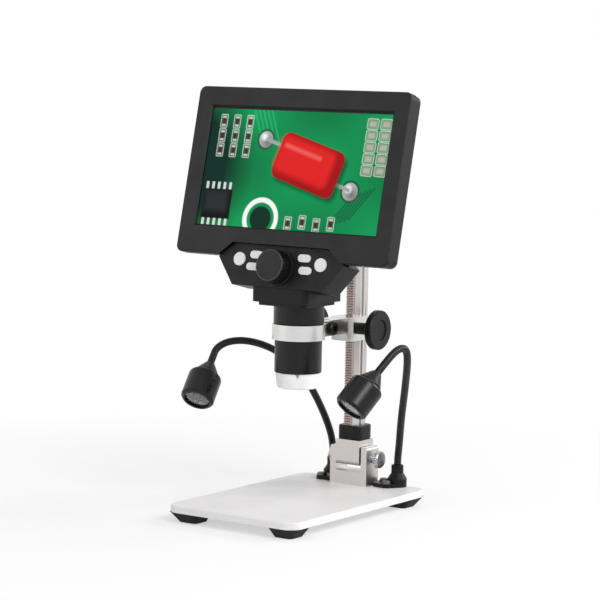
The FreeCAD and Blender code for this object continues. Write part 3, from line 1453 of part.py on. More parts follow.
# Lamps

def hull(circles):
    """Outline round circles that are listed counter-clockwise, as stops for draw."""
    stops = []
    count = len(circles)
    for i, (x, y, r) in enumerate(circles):
        px, py, pr = circles[i - 1]
        nx, ny, nr = circles[(i + 1) % count]
        into = tangent_side(px, py, pr, x, y, r)
        out = tangent_side(x, y, r, nx, ny, nr)
        stops.append((x + into[0] * r, y + into[1] * r))
        stops.append((x + out[0] * r, y + out[1] * r, x, y))
    return stops


def tangent_side(ax, ay, ar, bx, by, br):
    """Unit normal, on the right hand, of the line that touches two circles."""
    dx, dy = (bx - ax).number, (by - ay).number
    length = math.hypot(dx, dy)
    tilt = math.asin((ar - br).number / length)
    heading = math.atan2(dy, dx) - math.pi / 2 + tilt
    return math.cos(heading), math.sin(heading)


def make_lamp_base(side, base_x, screws, extra):
    base = body(f"{side}_lamp_base")
    y = lamp_base_y
    circles = [(x, v, s.lobe_r) for x, v in screws + extra]
    circles.append((base_x, y, s.lamp_boss_r))
    middle_x = sum(c[0].number for c in circles) / len(circles)
    middle_y = sum(c[1].number for c in circles) / len(circles)
    circles.sort(key=lambda c: math.atan2(c[1].number - middle_y, c[0].number - middle_x))
    foot = sketch_on(base, "XY_Plane")
    draw(foot, hull([(x - base_x, v - y, r) for x, v, r in circles]))
    pad(base, foot, s.lamp_foot_thick)
    boss_top = s.lamp_boss_high
    cone_top = boss_top + s.lamp_cone_high
    post = s.lamp_post_high
    ball = post + s.ball_rise
    neck = s.ball_neck_r
    sit = (s.ball_r.number ** 2 - s.ball_neck_r.number ** 2) ** 0.5
    turned(base, [
        (0, 0), (s.lamp_boss_r, 0), (s.lamp_boss_r, boss_top), (s.lamp_post_r, cone_top),
        (s.lamp_post_r, post - 0.4), (s.lamp_post_r - 0.4, post), (neck, post), (neck, ball - sit),
        (0, ball + s.ball_r, 0, ball),
    ])
    holes = sketch_on(base, "XY_Plane")
    for x, v in screws:
        circle_at(holes, x - base_x, v - y, s.small_screw + s.screw_clear)
    pocket(base, holes, s.lamp_foot_thick, backwards=True)
    back = sketch_on(base, "XY_Plane")
    edge = s.plate_depth / 2 - y
    reach = s.lamp_boss_r + 1
    draw(back, box_outline(-reach, edge, reach, edge + reach))
    pocket(base, back, s.lamp_post_high, backwards=True)
    put(base, base_x, y, plate_top)


def make_lamp_bases():
    screws = []
    for side, (base_x, places, extra) in lamp_screw_places().items():
        make_lamp_base(side, base_x, places, extra)
        for x, y in places:
            screw = make_screw(f"lamp_screw_{len(screws) + 1}", s.small_screw,
                               s.lamp_foot_thick + s.plate_thick * 0.8)
            put(screw, x, y, plate_top + s.lamp_foot_thick, Rotation(Vector(1, 0, 0), 180))
            screws.append(screw)
    group("lamp_base_screws", screws)


def lamp_rear(side):
    """Rear end of a lamp, from the place of its base."""
    base_x = lamp_screw_places()[side][0]
    if side == "right":
        return base_x + s.right_lamp_out, lamp_base_y - s.lamp_forward, plate_top + s.right_lamp_rise
    return base_x - s.left_lamp_out, lamp_base_y - s.lamp_forward, plate_top + s.left_lamp_rise


def lamp_frame(side):
    """Rear end of a lamp, and the direction that it shines in."""
    sign = 1 if side == "right" else -1
    turn = (s.right_lamp_turn if side == "right" else s.left_lamp_turn).number
    pitch = math.radians(s.lamp_pitch.number)
    level = math.cos(pitch)
    turn = math.radians(turn)
    direction = Vector(-sign * level * math.sin(turn), -level * math.cos(turn), -math.sin(pitch))
    rear = Vector(*(value.number for value in lamp_rear(side)))
    return rear, direction


def make_lamp(side):
    rear, direction = lamp_frame(side)
    turn = Rotation(Vector(0, 0, 1), direction)

    def settle(part):
        return put(part, *lamp_rear(side), turn)

    cone = s.lamp_cone_long
    ball = -s.lamp_stub
    neck = s.ball_neck_r
    sit = (s.ball_r.number ** 2 - s.ball_neck_r.number ** 2) ** 0.5
    cap = body(f"{side}_lamp_cap")
    turned(cap, [
        (0, ball - s.ball_r), (neck, ball + sit, 0, ball), (neck, ball + 4), (s.hose_r, ball + 4.6), (s.hose_r, 0),
        (s.lamp_small_r, 0), (s.lamp_mid_r, cone - 1.2), (s.lamp_mid_r, cone), (0, cone),
    ])
    settle(cap)

    shell = body(f"{side}_lamp_body")
    r = s.lamp_r
    end = s.lamp_long
    bore = s.lamp_lens_r + s.loose_fit
    soft = r - s.lamp_mid_r
    turned(shell, [
        (s.lamp_mid_r, cone), (r, cone + soft, s.lamp_mid_r, cone + soft), (r, end - s.lamp_lip_long),
        (s.lamp_lip_r, end), (bore, end), (bore, end - s.lamp_lens_set - s.lamp_lens_thick),
        (bore - 1, end - s.lamp_lens_set - s.lamp_lens_thick), (bore - 1, cone + 2), (0, cone + 2), (0, cone),
    ])
    settle(shell)

    lens_low = end - s.lamp_lens_set - s.lamp_lens_thick
    lens = body(f"{side}_lamp_lens")
    turned(lens, [
        (0, lens_low), (s.lamp_lens_r, lens_low), (s.lamp_lens_r, lens_low + s.lamp_lens_thick * 0.7),
        (s.lamp_lens_r - 1, lens_low + s.lamp_lens_thick), (0, lens_low + s.lamp_lens_thick),
    ])
    settle(lens)

    board_low = cone + 2
    board = body(f"{side}_lamp_led")
    turned(board, [
        (0, board_low), (bore - 1.1, board_low), (bore - 1.1, board_low + s.board_thick),
        (1.8, board_low + s.board_thick), (1.8, board_low + s.board_thick + 0.6),
        (0, board_low + s.board_thick + 2.4, 0, board_low + s.board_thick + 0.6),
    ])
    settle(board)

    mirror_low = board_low + s.board_thick
    reflector = body(f"{side}_lamp_reflector")
    turned(reflector, [
        (2.2, mirror_low), (3.2, mirror_low), (bore - 1.1, lens_low - 0.8), (bore - 1.1, lens_low - 0.05),
        (bore - 1.8, lens_low - 0.05),
    ])
    settle(reflector)
    return rear, direction


def bend_radius(a, b, c):
    """Radius of the arc that rounds the corner b between the runs from a and to c."""
    into = (b - a).normalize()
    out = (c - b).normalize()
    turn = into.getAngle(out)
    run = min((b - a).Length, (c - b).Length)
    return 0.45 * run / math.tan(turn / 2), turn


def hose_path(points):
    """Straight runs joined by tangent arcs."""
    edges = []
    here = points[0]
    for a, b, c in zip(points, points[1:], points[2:]):
        radius, turn = bend_radius(a, b, c)
        into = (b - a).normalize()
        out = (c - b).normalize()
        cut = radius * math.tan(turn / 2)
        start = b - into * cut
        end = b + out * cut
        middle = b + (out - into).normalize() * (radius / math.cos(turn / 2) - radius)
        edges.append(Part.LineSegment(here, start).toShape())
        edges.append(Part.Arc(start, middle, end).toShape())
        here = end
    edges.append(Part.LineSegment(here, points[-1]).toShape())
    return Part.Wire(edges)


def make_gooseneck(side, route):
    """The bendable arm, with a round hollow at each end for the balls that it bends on."""
    rear, direction = lamp_frame(side)
    base_x = lamp_screw_places()[side][0].number
    base = Vector(base_x, lamp_base_y.number, plate_top.number)
    start = base + Vector(0, 0, (s.lamp_post_high + s.ball_rise).number)
    end = rear - direction * s.lamp_stub.number
    points = [start] + [base + Vector(*p) for p in route] + [end]
    path = hose_path(points)
    first = (points[1] - points[0]).normalize()
    section = Part.Wire([Part.Circle(start, first, s.hose_r.number).toShape()])
    tube = path.makePipeShell([section], True, True)
    hollow = s.ball_r.number + s.ball_gap.number
    for centre in (start, end):
        tube = tube.cut(Part.makeSphere(hollow, centre))
    hose = doc.addObject("Part::Feature", f"{side}_gooseneck")
    hose.Shape = tube
    return keep(hose, f"{side}_gooseneck")


# The goosenecks' bends, from the place of their bases on the plate
RIGHT_ROUTE = [(2, -3.5, 39.5), (14.5, -21.5, 63.5), (28.5, -42.5, 85.5), (40.5, -62.5, 108.5),
               (47, -77.5, 115.5)]
LEFT_ROUTE = [(-0.5, -3.5, 37.5), (-4, -18.5, 63.5), (-11.5, -38.5, 86.5), (-23.5, -56.5, 102.5),
              (-36.5, -71.5, 108.5), (-46.5, -83.5, 103.5)]


make_plate()
make_feet()
make_bracket()
make_tilt_block()
make_clamp_screw()
make_column()
make_rack()
make_carriage()
make_ring_clamp()
make_pinion()
make_height_knob("left_height_knob", TO_LEFT)
make_height_knob("right_height_knob", TO_RIGHT)
make_tube()
make_lens()
make_focus_drive()
make_bezel()
make_housing()
make_flange()
make_panel()
make_buttons()
make_inner_pieces()
make_lamp_bases()
for lamp_side in ("left", "right"):
    make_lamp(lamp_side)
make_gooseneck("left", LEFT_ROUTE)
make_gooseneck("right", RIGHT_ROUTE)

doc.recompute()

# Nothing is written unless every object and every sub-part is sound.
broken = [thing.Name for thing in doc.Objects if "Invalid" in thing.State or "Error" in thing.State]
if broken:
    raise RuntimeError("these did not build: " + ", ".join(broken))
for thing in PARTS:
    if thing.Shape.isNull() or not thing.Shape.isValid() or thing.Shape.Volume <= 0:
        raise RuntimeError(f"{thing.Label} has no valid shape")

os.makedirs("parts", exist_ok=True)
for thing in PARTS:
    thing.Shape.exportStep(f"parts/{thing.Label}.step")
    print(f"{thing.Label}: {len(thing.Shape.Solids)} solids, {thing.Shape.Volume:.1f} mm3")
print(len(PARTS), "sub-parts")
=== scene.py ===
# %% [markdown]
# # A digital microscope on its stand
# A screen on a lens tube slides up and down a column, over a flat plate with two lamps on
# bendable arms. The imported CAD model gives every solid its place. This script adds what CAD
# leaves plain: the finishes, the smooth ribbed hoses, the picture on the screen and small trim.

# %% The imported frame
import json
import math
import bpy
import numpy as np
from mathutils import Matrix, Vector


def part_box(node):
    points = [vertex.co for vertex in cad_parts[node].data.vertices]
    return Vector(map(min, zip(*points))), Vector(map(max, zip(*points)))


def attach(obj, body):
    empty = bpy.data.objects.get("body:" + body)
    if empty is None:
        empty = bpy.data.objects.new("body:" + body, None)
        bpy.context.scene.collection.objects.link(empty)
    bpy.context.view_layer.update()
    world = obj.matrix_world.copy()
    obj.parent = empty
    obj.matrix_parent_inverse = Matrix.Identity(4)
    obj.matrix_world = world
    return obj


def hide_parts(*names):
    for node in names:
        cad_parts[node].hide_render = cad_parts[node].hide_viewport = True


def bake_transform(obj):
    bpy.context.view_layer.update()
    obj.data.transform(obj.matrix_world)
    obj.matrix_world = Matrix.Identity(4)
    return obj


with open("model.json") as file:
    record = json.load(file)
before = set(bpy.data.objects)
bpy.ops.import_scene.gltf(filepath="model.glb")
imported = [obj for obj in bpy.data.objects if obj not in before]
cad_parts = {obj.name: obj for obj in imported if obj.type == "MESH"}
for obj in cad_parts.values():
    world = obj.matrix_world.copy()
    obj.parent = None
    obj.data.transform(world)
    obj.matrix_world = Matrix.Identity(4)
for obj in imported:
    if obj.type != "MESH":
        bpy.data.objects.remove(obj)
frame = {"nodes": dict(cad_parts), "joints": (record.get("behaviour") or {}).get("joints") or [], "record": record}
nodes = frame["nodes"]
joints = {joint["name"]: joint for joint in frame["joints"]}
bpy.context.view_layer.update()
mm = 0.001

# %% [markdown]
# ## Camera
# A product photograph is taken from well back with a long lens, so that upright edges stay
# nearly parallel. The camera could be aimed at a target, but its three angles are known, so
# its axes are built from them directly: where it stands, then right, up and backwards.

# %% The camera
EYE = Vector((962.4, -1396.8, 331.9)) * mm
AZIMUTH = math.radians(34.648)
ELEVATION = math.radians(5.986)
ROLL = math.radians(1.099)
SENSOR_WIDTH = 36
FOCAL_LENGTH = 144

camera = bpy.data.objects.new("camera", bpy.data.cameras.new("camera"))
bpy.context.scene.collection.objects.link(camera)
bpy.context.scene.camera = camera
camera.data.sensor_width = SENSOR_WIDTH
camera.data.lens = FOCAL_LENGTH
camera.data.clip_start = 0.1
camera.data.clip_end = 20

backwards = Vector((math.sin(AZIMUTH) * math.cos(ELEVATION),
                    -math.cos(AZIMUTH) * math.cos(ELEVATION),
                    math.sin(ELEVATION)))
level_right = Vector((math.cos(AZIMUTH), math.sin(AZIMUTH), 0))
level_up = backwards.cross(level_right)
camera_x = level_right * math.cos(ROLL) + level_up * math.sin(ROLL)
camera_y = level_up * math.cos(ROLL) - level_right * math.sin(ROLL)
turned = Matrix((camera_x, camera_y, backwards)).transposed().to_4x4()
camera.matrix_world = Matrix.Translation(EYE) @ turned
print("camera distance (m):", round(EYE.length, 3))

# %% [markdown]
# ## Two helpers for finishes
# Paint and plastic colours are written as the hex values that a screen shows. Shaders work in
# linear light, so one function converts them. A second function adds a shader node with its
# settings, its values and its links, which keeps each finish below to a few readable lines.

# %% Colour and node helpers
def linear(hex_colour):
    """A screen colour as linear light: each channel by the sRGB curve, with full opacity."""
    channels = np.array([int(hex_colour[place:place + 2], 16) for place in (1, 3, 5)]) / 255
    low = channels / 12.92
    high = ((channels + 0.055) / 1.055) ** 2.4
    return (*np.where(channels <= 0.04045, low, high), 1.0)


def add(tree, kind, values=None, links=None, **settings):
    """Adds a shader node, sets its options and socket values, and links its inputs."""
    made = tree.nodes.new(kind)
    for name, value in settings.items():
        setattr(made, name, value)
    for socket, value in (values or {}).items():
        made.inputs[socket].default_value = value
    for socket, source in (links or {}).items():
        tree.links.new(source, made.inputs[socket])
    return made


def finish(name, colour, roughness, **values):
    """A new material with one Principled shader, and the shader's tree and node beside it."""
    material = bpy.data.materials.new(name)
    material.use_nodes = True
    tree = material.node_tree
    shader = tree.nodes["Principled BSDF"]
    shader.inputs["Base Color"].default_value = linear(colour)
    shader.inputs["Roughness"].default_value = roughness
    for socket, value in values.items():
        shader.inputs[socket.replace("_", " ")].default_value = value
    return material, tree, shader


def grain(tree, size, stretch=(1, 1, 1), detail=2.0):
    """Noise with features of a real size in metres, drawn out along the object's own axes."""
    place = add(tree, "ShaderNodeTexCoord")
    scaled = add(tree, "ShaderNodeMapping", {"Scale": stretch},
                 {"Vector": place.outputs["Object"]})
    return add(tree, "ShaderNodeTexNoise", {"Scale": 1 / size, "Detail": detail},
               {"Vector": scaled.outputs["Vector"]})


def dented(tree, shader, noise, depth, strength=1.0):
    """Lets a noise dent the surface by a depth in metres."""
    bump = add(tree, "ShaderNodeBump", {"Distance": depth, "Strength": strength},
               {"Height": noise.outputs[0]})
    tree.links.new(bump.outputs["Normal"], shader.inputs["Normal"])


def varied(tree, socket, noise, low, high):
    """Drives a shader value from a noise, between a low and a high end."""
    spread = add(tree, "ShaderNodeMapRange", {"From Min": 0.3, "From Max": 0.7,
                                              "To Min": low, "To Max": high},
                 {"Value": noise.outputs[0]})
    tree.links.new(spread.outputs["Result"], socket)


def tinted(tree, shader, noise, first, second):
    """Drifts the base colour between two close shades along a noise."""
    ramp = add(tree, "ShaderNodeValToRGB", links={"Fac": noise.outputs[0]})
    ramp.color_ramp.elements[0].position = 0.35
    ramp.color_ramp.elements[1].position = 0.65
    ramp.color_ramp.elements[0].color = linear(first)
    ramp.color_ramp.elements[1].color = linear(second)
    tree.links.new(ramp.outputs["Color"], shader.inputs["Base Color"])


# %% [markdown]
# ## Black plastics
# The screen housing and the knobs are moulded ABS. The mould is spark-eroded, which leaves a
# fine even grain, so the plastic looks satin and its highlights break up softly. Flat black
# would hide the form: real black plastic is a dark grey with a fairly strong sheen.

# %% Moulded ABS
def moulded_abs():
    """Satin black ABS with the grain of a spark-eroded mould, 0.35 mm across."""
    material, tree, shader = finish("abs_moulded_satin_black", "#0C0C0D", 0.42, IOR=1.53,
                                    Specular_IOR_Level=0.2)
    fine = grain(tree, 0.35 * mm)
    dented(tree, shader, fine, 0.012 * mm)
    cloudy = grain(tree, 22 * mm)
    varied(tree, shader.inputs["Roughness"], cloudy, 0.36, 0.47)
    return material


def moulded_abs_panel():
    """The control panel's insert: the same plastic from a coarser, duller mould."""
    material, tree, shader = finish("abs_moulded_dull_panel", "#101011", 0.55, IOR=1.53,
                                    Specular_IOR_Level=0.2)
    fine = grain(tree, 0.5 * mm)
    dented(tree, shader, fine, 0.02 * mm)
    cloudy = grain(tree, 14 * mm)
    varied(tree, shader.inputs["Roughness"], cloudy, 0.48, 0.60)
    return material


def polished_abs_painted_sheen():
    """ABS from a polished part of the mould: the beads round the wheel shine more. Their base colour, a lighter
    grey than the knob's black, is a painted sheen.
    """
    material, tree, shader = finish("abs_polished_painted_sheen", "#2A2A2B", 0.2, IOR=1.53,
                                    Specular_IOR_Level=0.6)
    cloudy = grain(tree, 3 * mm)
    varied(tree, shader.inputs["Roughness"], cloudy, 0.16, 0.26)
    return material


def frosted_cap():
    """Milky polycarbonate: light scatters inside it, so edges glow and nothing is sharp."""
    material, tree, shader = finish("polycarbonate_frosted", "#E8E8E8", 0.7, IOR=1.58,
                                    Specular_IOR_Level=0.15, Subsurface_Weight=0.2,
                                    Subsurface_Scale=2 * mm)
    cloudy = grain(tree, 6 * mm)
    tinted(tree, shader, cloudy, "#E4E4E5", "#EAEAEA")
    fine = grain(tree, 0.4 * mm)
    dented(tree, shader, fine, 0.01 * mm)
    return material


def silicone_key():
    """Moulded pale silicone keys: soft, slightly dusty, with no sharp highlight."""
    material, tree, shader = finish("silicone_moulded_pale", "#DADADA", 0.5, IOR=1.43,
                                    Subsurface_Weight=0.15, Subsurface_Scale=1.5 * mm)
    fine = grain(tree, 0.4 * mm)
    dented(tree, shader, fine, 0.01 * mm)
    return material


# %% [markdown]
# ## Metals
# The column and the carriage are extruded aluminium, etched and clear anodised: satin silver
# with faint lines along the extrusion. The lens ring is turned on a lathe, so its lines run
# round it. The plate is sheet steel under a powder coat, which dries to a slight orange peel.

# %% Aluminium, steel and paint
def drawn_aluminium():
    """Clear anodised extrusion: satin silver, with die lines 0.4 mm apart along the column."""
    material, tree, shader = finish("aluminium_extruded_clear_anodised", "#C9C6C4", 0.34,
                                    Metallic=1.0)
    lines = grain(tree, 0.4 * mm, (1, 1, 0.02))
    varied(tree, shader.inputs["Roughness"], lines, 0.27, 0.42)
    dented(tree, shader, lines, 0.004 * mm)
    return material


def turned_aluminium():
    """Lathe-turned ring: the tool's lines run round it, 0.3 mm apart up its height."""
    material, tree, shader = finish("aluminium_turned_bright", "#D6D4D2", 0.3, Metallic=1.0)
    lines = grain(tree, 0.3 * mm, (0.002, 0.002, 1))
    varied(tree, shader.inputs["Roughness"], lines, 0.24, 0.36)
    return material


def black_anodised():
    """Black anodised turned aluminium: dyed oxide over fine tool lines, a soft deep sheen."""
    material, tree, shader = finish("aluminium_turned_black_anodised", "#0A0A0B", 0.32, IOR=1.6,
                                    Specular_IOR_Level=0.22)
    lines = grain(tree, 0.35 * mm, (0.03, 0.03, 1))
    dented(tree, shader, lines, 0.006 * mm)
    return material


def zinc_steel():
    """Zinc-plated steel screws and pins: cool grey, a little cloudy."""
    material, tree, shader = finish("steel_zinc_plated", "#A9AAAC", 0.32, Metallic=1.0)
    cloudy = grain(tree, 1.2 * mm)
    varied(tree, shader.inputs["Roughness"], cloudy, 0.25, 0.42)
    tinted(tree, shader, cloudy, "#9C9DA0", "#B9BABC")
    return material


def milled_rack():
    """Milled steel rack: a warm grey, with fine lines across the teeth."""
    material, tree, shader = finish("steel_milled_warm_grey", "#B5A7A2", 0.36, Metallic=1.0)
    lines = grain(tree, 0.3 * mm, (0.05, 1, 1))
    varied(tree, shader.inputs["Roughness"], lines, 0.28, 0.46)
    return material


def plated_dark():
    """Blackened zinc on the small screws of the lamp bases: a dark cool grey."""
    material, tree, shader = finish("steel_zinc_blackened", "#6E6F71", 0.38, Metallic=1.0)
    cloudy = grain(tree, 1.2 * mm)
    varied(tree, shader.inputs["Roughness"], cloudy, 0.3, 0.48)
    return material


def powder_coat():
    """Powder-coated sheet steel: pale grey with an orange peel of about 1.5 mm."""
    material, tree, shader = finish("steel_powder_coated_pale_grey", "#DEDCDC", 0.42, IOR=1.5)
    peel = grain(tree, 1.5 * mm)
    dented(tree, shader, peel, 0.03 * mm)
    cloudy = grain(tree, 40 * mm)
    tinted(tree, shader, cloudy, "#DBD9D9", "#E1DFDF")
    return material


def rubber():
    """Black rubber feet: matt and slightly dusty."""
    material, tree, shader = finish("rubber_moulded_black", "#121212", 0.7, IOR=1.5,
                                    Specular_IOR_Level=0.3)
    fine = grain(tree, 0.5 * mm)
    dented(tree, shader, fine, 0.03 * mm)
    return material


def sintered_bronze():
    """Sintered bronze bushing: warm, fine-pored metal."""
    material, tree, shader = finish("bronze_sintered", "#A9834A", 0.4, Metallic=1.0)
    pores = grain(tree, 0.3 * mm)
    dented(tree, shader, pores, 0.02 * mm)
    return material


# %% [markdown]
# ## Glass, boards and bright parts
# The lamp lens is clear moulded acrylic, so light has to pass through it to the reflector
# behind. The reflector is plastic with a vapour-deposited aluminium mirror. The boards are
# glass-fibre laminate under a green or white lacquer.

# %% Clear, mirror and board finishes
def clear_acrylic():
    """Clear moulded acrylic: smooth, and light passes through."""
    material, tree, shader = finish("acrylic_clear_polished", "#F4F6F7", 0.04, IOR=1.49,
                                    Transmission_Weight=1.0)
    ripple = grain(tree, 4 * mm)
    dented(tree, shader, ripple, 0.01 * mm)
    return material


def mirror_coat():
    """Vapour-deposited aluminium on a moulded cup: nearly a mirror, with moulded ripples."""
    material, tree, shader = finish("reflector_aluminium_mirror", "#9B989A", 0.2, Metallic=1.0)
    ripple = grain(tree, 3 * mm)
    dented(tree, shader, ripple, 0.03 * mm)
    return material


def lacquered_board(name, colour, second):
    """Glass-fibre board under lacquer: the weave shows as 0.6 mm cloudiness."""
    material, tree, shader = finish(name, colour, 0.35, IOR=1.5)
    weave = grain(tree, 0.6 * mm)
    tinted(tree, shader, weave, colour, second)
    return material


def battery_film():
    """Shrink film round the battery cell: smooth plastic with soft wrinkles."""
    material, tree, shader = finish("film_shrunk_blue_grey", "#5B6B86", 0.3, IOR=1.5)
    wrinkle = grain(tree, 5 * mm, (1, 0.3, 1))
    dented(tree, shader, wrinkle, 0.2 * mm)
    return material


def ribbed_hose():
    """PVC-sleeved steel spiral: black with a soft sheen on each rib."""
    material, tree, shader = finish("hose_pvc_black", "#0B0B0C", 0.36, IOR=1.52,
                                    Specular_IOR_Level=0.3)
    fine = grain(tree, 0.6 * mm)
    dented(tree, shader, fine, 0.01 * mm)
    return material


def coloured_slots():
    """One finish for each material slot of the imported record."""
    black = moulded_abs()
    board_green = lacquered_board("board_lacquered_green", "#1D5A34", "#236B3E")
    return {
        "plate_paint": powder_coat(),
        "silver_aluminium": drawn_aluminium(),
        "black_anodised": black_anodised(),
        "steel": zinc_steel(),
        "rack_steel": milled_rack(),
        "black_plastic": black,
        "panel_plastic": moulded_abs_panel(),
        "key_rubber": silicone_key(),
        "foot_rubber": rubber(),
        "hose_rubber": ribbed_hose(),
        "frosted_plastic": frosted_cap(),
        "display": black,
        "lens_glass": clear_acrylic(),
        "board": board_green,
        "light_board": lacquered_board("board_lacquered_white", "#E4E4DF", "#D8D8D2"),
        "reflector": mirror_coat(),
        "battery_wrap": battery_film(),
        "bronze": sintered_bronze(),
    }


# %% Finishes go onto the CAD nodes
FINISH = coloured_slots()
for part in frame["record"]["subparts"]:
    mesh = nodes[part["node"]].data
    mesh.materials.clear()
    mesh.materials.append(FINISH[part["material_slot"]])

nodes["focus_carriage"].data.materials[0] = turned_aluminium()
nodes["tilt_clamp_screw"].data.materials[0] = FINISH["steel"]
nodes["lamp_base_screws"].data.materials[0] = plated_dark()


# %% [markdown]
# ## A mesh from a grid
# Most new pieces here are a sheet of points worked out by a formula, row by row. One function
# turns such a grid into a mesh, closing it on itself where the shape goes all the way round.

# %% Grid helper
def grid_mesh(name, points, material, wrap=False, loop=False, capped=False):
    """A mesh from points[row, column, 3]: one quad between each four neighbours.
    wrap joins the last column to the first, loop joins the last row to the first,
    and capped closes both end rows with a fan."""
    rows, columns = points.shape[:2]
    index = np.arange(rows * columns).reshape(rows, columns)
    across = np.concatenate([index, index[:, :1]], axis=1) if wrap else index
    across = np.concatenate([across, across[:1]]) if loop else across
    quads = np.stack([across[:-1, :-1], across[:-1, 1:], across[1:, 1:], across[1:, :-1]], axis=-1)
    faces = quads.reshape(-1, 4).tolist()
    vertices = points.reshape(-1, 3)
    if capped:
        ends = points[[0, -1]].mean(axis=1)
        vertices = np.concatenate([vertices, ends])
        ring = across[[0, -1]]
        first, last = rows * columns, rows * columns + 1
        low = np.stack([np.full(ring.shape[1] - 1, first), ring[0, 1:], ring[0, :-1]], axis=-1)
        high = np.stack([np.full(ring.shape[1] - 1, last), ring[1, :-1], ring[1, 1:]], axis=-1)
        faces += low.tolist() + high.tolist()
    mesh = bpy.data.meshes.new(name)
    mesh.from_pydata(vertices.tolist(), [], faces)
    mesh.materials.append(material)
    mesh.polygons.foreach_set("use_smooth", np.ones(len(mesh.polygons), dtype=bool))
    mesh.update()
    piece = bpy.data.objects.new(name, mesh)
    bpy.context.scene.collection.objects.link(piece)
    return piece


# %% [markdown]
# ## The screen's own directions
# The screen leans back, so what lies on it or faces it is placed along its own two directions:
# up along its face, and out of it towards the eye.

# %% Directions and points of a node
LEAN = math.radians(13)
UPWARD = np.array([0, math.sin(LEAN), math.cos(LEAN)])
OUTWARD = np.array([0, -math.cos(LEAN), math.sin(LEAN)])


def node_points(name):
    """All the points of a CAD node as an array."""
    mesh = nodes[name].data
    points = np.empty(len(mesh.vertices) * 3)
    mesh.vertices.foreach_get("co", points)
    return points.reshape(-1, 3)


# %% [markdown]
# ## The picture on the screen
# The screen shows a magnified circuit board. It is generic: shapes of a bare green board, a
# red part, solder and pads, laid out for this model. It could be an image file, but a grid of
# coloured points keeps it inside the script. Each motif is a formula for how much of it covers
# a point, from 0 outside to 1 inside, with a soft edge.

# %% Motifs of the picture
PICTURE_WIDTH = 154.08
PICTURE_HEIGHT = 85.92
PICTURE_CELLS = (400, 222)
PICTURE_LIFT = 0.05 * mm


def edge(distance, softness=0.5):
    """Coverage from a signed distance in mm: 1 inside, 0 outside, smooth over the softness."""
    return np.clip(0.5 - distance / softness, 0, 1)


def blob(x, y, middle, radius, squash=1.0):
    """Signed distance to an ellipse: the scaled distance from its middle, less its radius."""
    return np.hypot(x - middle[0], (y - middle[1]) / squash) - radius


def block(x, y, middle, size, turn=0.0, corner=0.5):
    """Signed distance to a turned rectangle with round corners, by the folded quadrant."""
    c, s = math.cos(math.radians(turn)), math.sin(math.radians(turn))
    across = (x - middle[0]) * c + (y - middle[1]) * s
    up = (y - middle[1]) * c - (x - middle[0]) * s
    over_x = np.abs(across) - size[0] / 2 + corner
    over_y = np.abs(up) - size[1] / 2 + corner
    outside = np.hypot(np.maximum(over_x, 0), np.maximum(over_y, 0))
    return outside + np.minimum(np.maximum(over_x, over_y), 0) - corner


def paint(picture, colour, coverage):
    """Lays a colour over the picture where the coverage says."""
    picture += (np.array(linear(colour)[:3]) - picture) * coverage[..., None]


def small_part(picture, x, y, middle, turn):
    """A chip resistor: a white printed frame, two silver ends and a dark body between them."""
    frame_line = np.abs(block(x, y, middle, (9.4, 5.6), turn, 0.6)) - 0.22
    paint(picture, "#D9EFE2", edge(frame_line))
    paint(picture, "#C9C6BE", edge(block(x, y, middle, (7.4, 3.6), turn, 0.5)))
    paint(picture, "#3B322C", edge(block(x, y, middle, (4.4, 3.7), turn, 0.2)))


def solder_joint(picture, x, y, middle, radius):
    """A silver cone of solder: a dark rim, a grey slope and a bright spot off its middle."""
    paint(picture, "#0A4A30", edge(blob(x, y, middle, radius * 1.22), 1.2))
    paint(picture, "#A9ADAB", edge(blob(x, y, middle, radius), 0.8))
    shade = (middle[0] + radius * 0.3, middle[1] - radius * 0.35)
    paint(picture, "#5D625F", 0.8 * edge(blob(x, y, shade, radius * 0.55), radius))
    spot = (middle[0] - radius * 0.25, middle[1] + radius * 0.3)
    paint(picture, "#F7F8F4", edge(blob(x, y, spot, radius * 0.38), radius * 0.5))


def red_part(picture, x, y, middle, size, turn):
    """A dipped red part: a shadow below it, a body lit from one side and a soft highlight."""
    below = (middle[0] + 2.5, middle[1] - 3)
    paint(picture, "#04301F", 0.7 * edge(block(x, y, below, size, turn, 6), 4))
    paint(picture, "#A30D10", edge(block(x, y, middle, size, turn, 6), 0.7))
    lit = (middle[0] - size[0] * 0.06, middle[1] + size[1] * 0.07)
    lit_size = (size[0] * 0.86, size[1] * 0.78)
    paint(picture, "#E0211F", edge(block(x, y, lit, lit_size, turn, 5), 5))
    top = (middle[0] - size[0] * 0.1, middle[1] + size[1] * 0.27)
    top_size = (size[0] * 0.6, size[1] * 0.08)
    paint(picture, "#F4746A", 0.65 * edge(block(x, y, top, top_size, turn, 1), 2.5))


def board_ground(picture, x, y):
    """The bare board: a green that drifts, a dark blurred side, and dark and light tracks."""
    picture[:] = linear("#077A45")[:3]
    paint(picture, "#0EA35C", 0.85 * (0.5 + 0.5 * np.sin(x / 21 + 0.6) * np.cos(y / 15)))
    paint(picture, "#052E25", edge(blob(x, y, (-80, 2), 34, 1.5), 26))
    for step in range(6):
        bend = block(x, y, (44 + 3.4 * step, -26 + 1.2 * step), (1.1, 30), -38, 0.5)
        paint(picture, "#075B3B", 0.9 * edge(bend))
    for step in range(5):
        track = block(x, y, (-38 + 4.6 * step, 38 - 2 * step), (1.4, 30), 24, 0.6)
        paint(picture, "#33B97C", 0.6 * edge(track))


